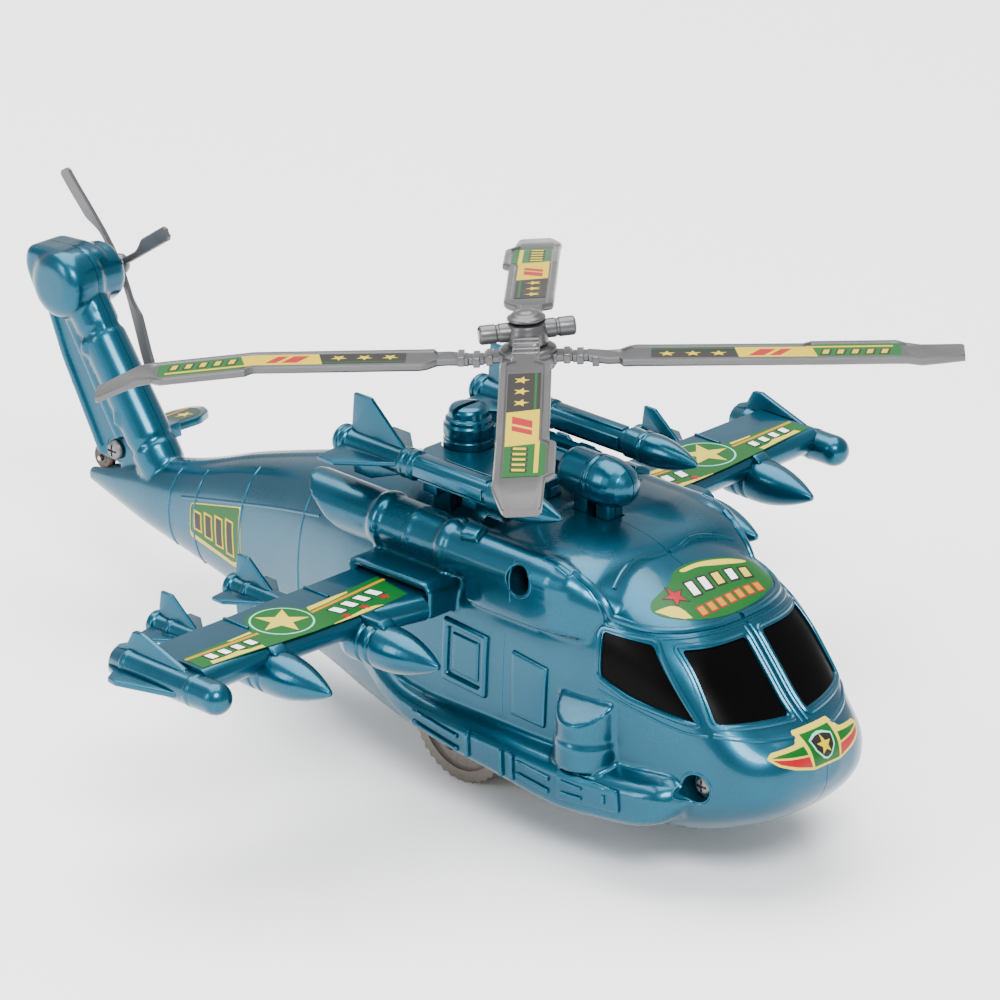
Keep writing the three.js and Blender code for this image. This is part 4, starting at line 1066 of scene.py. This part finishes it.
# ---- roof rack and its stores ----
DECK = hull_solid(-0.25, name="deck")
plate = prism(rounded([(-20, -8), (-8, -12), (8, -12), (20, -8), (20, 16), (11, 27), (-11, 27), (-20, 16)],
                      1.6), -35.3, -33.2, "Z", 0.4)
rack = [plate]
for side in (-1, 1):
    for y in (-4, 10):
        rack.append(block((min(side * 16, side * 22.8), y, -38.2),
                          (max(side * 16, side * 22.8), y + 5, -33.2), 0.4))
    rack.append(block((side * 18.5 - 1.5, 8, -45), (side * 18.5 + 1.5, 14, -34.2), 0.2))
    rack.append(block((side * 13 - 0.5, -9, -34), (side * 13 + 0.5, 16, -32.6), 0.3))
rack = united(rack, "rack")
for side in (-1, 1):
    cut(rack, rod(4.85, -40, 45, (side * 24.8, 0, -30.6), Y, 48, 0))
    cut(rack, prism(oval((side * 15.4, 2), 1.5, 4.4, 28), -37, -31, "Z"))
cut(rack, rod(7.5, -60, 0, (0, 0, 0), MAST_WAY, 48, 0))
cut(rack, rod(7.1, -38.2, -29.2, (0, 21, 0), Z, 48, 0))
moulding(rack, "weapons_rack")

top_at = (24.8, 0, -30.6)
top_shape = turned([
    *ogive(-36, 15, 4.3), (4.3, -20), (4.05, -19.7), (4.05, -19), (4.3, -18.7), (4.3, -17.6), (3.9, -17.2),
    (4.1, -13), (3.2, -12.4),
    (3.1, -12), (3.1, 14), (4, 14.5), (4, 15.6), (3.8, 15.8), (3.8, 17), (4, 17.2), (4, 18.4), (3.6, 18.9),
    (3.6, 37.8), (4.1, 38.3),
    (4.1, 39.4), (3.8, 39.6), (3.8, 40.1), (4.1, 40.3), (4.1, 41.3), (3.4, 42.3), (1.4, 42.3), (1.2, 41.8),
    (0, 41.8),
], top_at, Y, 48, 0.22)
flats = [block((24.8 - 3.4, -11, -30.6 - 1.5), (24.8 + 3.4, 13.4, -30.6 + 1.5), 0.3),
         block((24.8 - 1.5, -11, -34), (24.8 + 1.5, 13.4, -27.2), 0.3)]
top_missile = united([top_shape, *flats, *fin_set(top_at, 37.9, 3.4, 13.9, 19, 8, 1.2)], "top_missile")
moulding(mirrored(top_missile, "far"), "roof_missile_starboard")
moulding(top_missile, "roof_missile_port")

turret = turned([
    (0, -42.1), (6.6, -42.1), (6.6, -31.4), (6.35, -31.1), (6.35, -30.4), (6.6, -30.1), (6.6, -27.6),
    (6.1, -26.9), (6.1, -26), (5.3, -25.4),
    (5.2, -23.8), (4.6, -22.9), (3, -22.5), (0, -22.4),
], (0, 21, 0), Z, 64, 0.3)
cut(turret, block((-7, 20.2, -24.4), (7, 21.8, -20), 0.2))
cut(turret, copy_of(DECK))
moulding(turret, "roof_turret")

pod = turned([
    (0, -37.2), (1.6, -37), (3.2, -36.3), (4.7, -34.9), (5.6, -33), (6.15, -31), (6.45, -28.6),
    (6.5, -26.8), (6.2, -26.4), (6.2, -25.9),
    (6.45, -25.5), (6.35, -24.6), (6.1, -24.2), (6.1, -17.2), (5.6, -15.8), (4.6, -14.9), (0, -14.4),
], (0, 0, -29.8), Y, 64, 0.25)
feet = [prism([(y, -42.5), (y + 4.4, -42.5), (y + 4.4, -31), (y, -31)], -2.9, 2.9, "X",
              0.5) for y in (-30.9, -23.4)]
pod = united([pod, *feet], "pod")
pod_far = copy_of(pod)
cut(pod, block((-20, -60, -60), (0.14, 20, 0), 0))
cut(pod_far, block((-0.14, -60, -60), (20, 20, 0), 0))
moulding(pod, "nose_pod_port")
moulding(pod_far, "nose_pod_starboard")

# ---- mast and main rotor, drawn upright and leaned back together ----
mast = turned([(0, -42), (6.4, -42), (6.4, -37.2), (5.4, -36.2), (4.4, -35.6), (4.2, -34.8), (3.6, -7.8),
               (3.2, -7.2), (0, -7.2)], (0, 0, 0), Z, 48, 0.4)
cut(mast, rod(1.9, -44, 0, (0, 0, 0), Z, 32, 0))
DECK.data.transform(ROTOR_TILT.inverted())
cut(mast, DECK)
moulding(mast, "mast_tube", tilt=True)


def blade(levels):
    """One blade along +X: ribbed arm, sunk face inside rounded lips, wider outer stretch, bent tip."""
    arm, root, step, fold, tip = levels
    rows = [(3, -3.2, 3.2, arm), (11, -3, 3, arm), (11.3, -2.6, 2.6, arm - 0.4),
            (15, -2.6, 2.6, arm - 0.4), (15.3, -3, 3, arm - 0.4),
            (20, -3.4, 3.4, root), (23, -3.6, 3.6, root), (24, -6, 4.6, root), (25.6, -6.2, 6.2, root),
            (27.4, -6.2, 6.8, root)]
    for u in np.linspace(31, 68, 9):
        rows.append((u, -6.2, 6.8, root + (step - root) * (u - 26.6) / 42.7))
    rows += [(69.3, -6.2, 6.8, step), (70.2, -6.2, 7.4, step), (71.4, -6.2, 8.6, step - 0.1)]
    for u in np.linspace(75, 91, 4):
        rows.append((u, -6.2, 8.6, step - 0.1 + (fold + 0.1 - step + 0.1) * (u - 71.1) / 22.4))
    rows += [(93, -6.2, 8.6, fold + 0.1), (94.4, -6.2, 7.4, fold), (95.4, -6.2, 6.4, fold),
             (99, -6.4, 6.2, fold - 0.6),
             (104, -5.2, 6, fold - 0.6 + (tip - fold + 0.6) * 0.45), (109.2, -3.9, 5.7, tip + 0.1),
             (110, -3.4, 5.2, tip)]
    rings = []
    for u, right, left, z in rows:
        sunk = 0.45 if 21 < u < 97 else 0.0
        lip = min(2.0, (left - right) * 0.24)
        profile = [(right, -1.5), (right + 0.5, -2), (left - 0.5, -2), (left, -1.5), (left, -0.45),
                   (left - 0.35, -0.08), (left - 0.9, 0),
                   (left - lip + 0.4, -0.05), (left - lip, -sunk), (right + lip, -sunk),
                   (right + lip - 0.4, -0.05), (right + 0.9, 0),
                   (right + 0.35, -0.08), (right, -0.45)]
        rings.append([(u, v, z + dz) for v, dz in profile])
    parts = [loft(rings)]
    for k, u in enumerate((6.4, 9.8, 13.1, 17)):
        high = (arm if u < 11 else arm - 0.4 if u < 15.5 else root) + 0.25
        parts.append(block((u - 0.9, -3.4, high - 2.6), (u + 0.9, 3.4, high), 0.3))
    return united(parts, "blade")


def blade_print(skin, turn, level_name, body_name):
    """The printed label of one blade, in blade axes, then turned to its place."""
    layers = [
        (0, [(31, -3.9), (53.2, -3.9), (52, 4.3), (31, 4.3)], CHARCOAL),
        (0, [(53.2, -3.9), (73, -3.9), (71.5, 4.3), (52, 4.3)], YELLOW),
        (0, [(73, -3.9), (94, -3.9), (94, 5.6), (92.6, 6.3), (74, 6.3), (71.6, 5.4), (71.5, 4.3)], GREEN),
        (1, [(70, 3.5), (92, 3.5), (92, 4.6), (70, 4.6)], YELLOW),
        (1, [(55.5, -2.4), (59.4, -2.4), (62.4, 2.6), (58.5, 2.6)], RED),
        (1, [(60.8, -2.4), (63.4, -2.4), (66.4, 2.6), (63.8, 2.6)], RED),
        (1, [(31, 2.8), (52.2, 2.8), (52, 3.4), (31, 3.4)], GREEN),
    ]
    layers += [(1, star((u, -0.5), 2.1, turn=20), YELLOW) for u in (35, 41.5, 48)]
    for k in range(5):
        layers.append((1, slanted((74.8 + 3.7 * k, -0.2), 2.5, 4.2, 0.6), CHARCOAL))
        layers.append((2, slanted((74.8 + 3.7 * k, -0.2), 1.5, 3.2, 0.5), YELLOW))
    lay(layers, "top", f"blade_print_{level_name}", body_name, skin, True, turn)


LOWER = [(-2.4, -2.3, -0.9, -2.4, -7), (-2.8, -3.9, -5.7, -6.7, -7.6)]
UPPER = [(3, 2.8, -0.5, -3.4, -5.8), (3, 2.7, -2.6, -3.4, -6.4)]


def two_blades(levels, turn, extra, label):
    parts = list(extra)
    for k, row in enumerate(levels):
        one = blade(row)
        blade_print(skin_of(one), turn + 180 * k + ROTOR_PHASE, f"{label}_{k + 1}", "main_rotor_body")
        parts.append(spun(one, turn + 180 * k + ROTOR_PHASE))
    return united(parts, label)


def bore(obj, radius, low, high):
    return cut(obj, rod(radius, low, high, (0, 0, 0), Z, 40, 0))


lower_drum = turned([(0, -6.8), (6.2, -6.8), (6.8, -6.4), (7.3, -5.2), (7.4, -3.2), (7.1, -2.9),
                     (7.4, -2.6), (7.3, -1.4), (6.6, -0.9), (5.4, -0.6), (0, -0.6)],
                    (0, 0, 0), Z, 64, 0.3)
lower_rotor = bore(two_blades(LOWER, 90, [lower_drum], "lower"), 1.9, -8, 3.8)
moulding(lower_rotor, "main_rotor_lower", "main_rotor_body", SILVER, tilt=True)
upper_drum = turned([(0, -0.3), (5.2, -0.3), (5.4, 0.6), (5.4, 3), (5.1, 3.9), (4.8, 5.2), (0, 5.2)],
                    (0, 0, 0), Z, 64, 0.3)
cross = turned([(0, -12.4), (1.4, -12.4), (1.5, -11.8), (2, -11.8), (2.1, -12.4), (2.5, -11.9),
                (2.5, -8.2), (2.25, -8), (2.25, -7.4), (2.5, -7.2),
                (2.5, 7.2), (2.25, 7.4), (2.25, 8), (2.5, 8.2), (2.5, 11.9), (2.1, 12.4), (2, 11.8),
                (1.5, 11.8), (1.4, 12.4), (0, 12.4)],
               (0, 0, 0), X, 40, 0.15)
spun(cross, 102 + ROTOR_PHASE)
cross.data.transform(Matrix.Translation((0, 0, 3.2)))
upper_rotor = bore(bore(two_blades(UPPER, 0, [upper_drum, cross], "upper"), 1.9, -8, 3.8), 2.2, 3.6, 9)
moulding(upper_rotor, "main_rotor_upper", "main_rotor_body", SILVER, tilt=True)
cap = turned([(0, 3.9), (1.9, 3.9), (1.9, 6), (4.6, 6), (5, 6.3), (4.9, 6.9), (4.2, 7.3), (3.4, 8),
              (2.6, 8.1), (1.5, 8.6), (0, 8.6)],
             (0, 0, 0), Z, 48, 0.25)
moulding(cap, "rotor_cap", "main_rotor_body", SILVER, tilt=True)

# ---- tail rotor ----
paddles = [turned([(0, -1.6), (2.6, -1.6), (3.1, -0.6), (3.2, 0.2), (2.7, 1.7), (1.4, 2.3), (0, 2.5)],
                  (0, 0, 0), Z, 40, 0.3)]
for turn in (0, 90, 180, 270):
    rows = smooth_table([(2, -1, 1, 0), (9.5, -1, 1, -0.8), (12.5, -1.8, 1, -1.3), (16, -3.1, 1, -1.9),
                         (28.6, -3.1, 1, -4.1),
                         (29.6, -2.2, 0.2, -4.2)], np.concatenate([np.linspace(2, 28.2, 24),
                                 [28.8, 29.3, 29.6]]))
    rings = [[(u, right, z - 0.35), (u, right + 0.3, z - 0.6), (u, left - 0.3, z - 0.6),
              (u, left, z - 0.35), (u, left, z + 0.4),
              (u, left - 0.25, z + 0.62), (u, left - 0.6, z + 0.4), (u, right + 0.6, z + 0.4),
              (u, right + 0.25, z + 0.62), (u, right, z + 0.4)]
             for u, right, left, z in rows]
    paddles.append(spun(loft(rings), turn + 58))
tail_rotor = united(paddles, "tail_rotor_shape")
cut(tail_rotor, rod(1.2, -3, 0.6, (0, 0, 0), Z, 24, 0))
tail_rotor.data.transform(Matrix.Translation(TAIL_HUB) @ Matrix.Rotation(math.pi / 2, 4,
        "Z") @ Matrix.Rotation(math.pi / 2, 4, "X"))
moulding(tail_rotor, "tail_rotor", "tail_rotor_body", SILVER)

# ---- wheels ----
tail_wheel = turned([(0, -1.3), (1.5, -1.3), (1.8, -1), (2.5, -1), (2.9, -1.3), (3.7, -0.6), (3.7, 0.6),
                     (2.9, 1.3), (2.5, 1), (1.8, 1), (1.5, 1.3), (0, 1.3)],
                    TAIL_WHEEL_AT, X, 40, 0.2)
cut(tail_wheel, rod(0.95, -5, 5, TAIL_WHEEL_AT, X, 20, 0))
moulding(tail_wheel, "tail_wheel", "tail_wheel_body", BROWN)


def drive_wheel():
    outline = []
    for k in range(80):
        angle = math.pi * (k + 0.5) / 40
        reach = 17.2 if k % 2 == 0 else 16.45
        outline.append((7.1 + reach * math.cos(angle), -101.2 + reach * math.sin(angle)))
    tyre = prism(outline, 13.5, 17.7, "X", 0.3)
    cut(tyre, turned([(0, 16.6), (4.6, 16.6), (5, 16.4), (13, 16.4), (13.7, 17.2), (13.9, 19), (0, 19)],
                     WHEEL_AT, X, 64, 0.3))
    for turn in range(0, 360, 60):
        y, z = 7.1 + 9 * math.cos(math.radians(turn)), -101.2 + 9 * math.sin(math.radians(turn))
        cut(tyre, rod(2.4, 15.6, 18, (0, y, z), X, 24, 0.1))
    hub = rod(4.2, 14, 17.4, WHEEL_AT, X, 40, 0.25)
    wheel = united([tyre, hub], "wheel")
    return cut(wheel, rod(1.65, -30, 30, WHEEL_AT, X, 32, 0))


wheel = drive_wheel()
moulding(mirrored(wheel, "far"), "drive_wheel_starboard", "drive_axle_body", WHEEL)
moulding(wheel, "drive_wheel_port", "drive_axle_body", WHEEL)


# ---- inner parts keep their CAD shapes ----
INNER = {"white_plastic": (WHITE, ("axle_gear", "idler_gear", "motor_case_starboard", "motor_case_port")),
         "steel_wire": (STEEL, ("rotor_pin", "tail_rotor_pin", "tail_wheel_pin", "drive_axle", "idler_pin",
                                "flywheel_pin")),
         "flywheel_iron": (IRON, ("flywheel",))}
for inner_material, nodes in INNER.values():
    for node in nodes:
        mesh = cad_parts[node].data
        mesh.materials.clear()
        mesh.materials.append(inner_material)


# ---- camera, floor and light ----
def plain(name, color, roughness):
    mat = bpy.data.materials.new(name)
    mat.use_nodes = True
    shader = mat.node_tree.nodes["Principled BSDF"]
    shader.inputs["Base Color"].default_value = (*color, 1)
    shader.inputs["Roughness"].default_value = roughness
    shader.inputs["Specular IOR Level"].default_value = 0.2
    return mat


floor = make("floor", [(-4, -4, 0), (4, -4, 0), (4, 4, 0), (-4, 4, 0)], [(0, 1, 2, 3)])
floor.data.materials.append(plain("floor_white", (0.98, 0.98, 0.98), 0.95))

azimuth, elevation = math.radians(-45.63), math.radians(22.35)
aim = -Vector((math.sin(azimuth) * math.cos(elevation), -math.cos(azimuth) * math.cos(elevation),
               math.sin(elevation)))
lens = bpy.data.cameras.new("camera")
lens.lens, lens.sensor_width, lens.clip_end = 235.28, 36, 20
camera = bpy.data.objects.new("camera", lens)
camera.location = (-1.10659, -1.119, 0.709)
camera.rotation_euler = aim.to_track_quat("-Z", "Y").to_euler()
bpy.context.collection.objects.link(camera)
bpy.context.scene.camera = camera


def area_light(name, at, target, size, power, color=(1, 1, 1)):
    data = bpy.data.lights.new(name, "AREA")
    data.shape, data.size, data.size_y, data.energy, data.color = "RECTANGLE", *size, power, color
    lamp = bpy.data.objects.new(name, data)
    lamp.location = at
    lamp.rotation_euler = (Vector(target) - Vector(at)).to_track_quat("-Z", "Y").to_euler()
    bpy.context.collection.objects.link(lamp)
    return lamp


lamps = [
    area_light("key", (-0.75, -1.0, 1.2), (0, 0, 0.06), (0.7, 0.5), 34),
    area_light("side", (-1.5, 0.5, 0.7), (0, 0, 0.05), (0.4, 0.8), 12),
    area_light("top", (0.2, 0.6, 2.2), (0, 0.3, 0), (2.4, 2.4), 135),
]
world = bpy.data.worlds.new("studio")
world.use_nodes = True
world.node_tree.nodes["Background"].inputs["Color"].default_value = (1, 1, 1, 1)
world.node_tree.nodes["Background"].inputs["Strength"].default_value = 0.85
bpy.context.scene.world = world
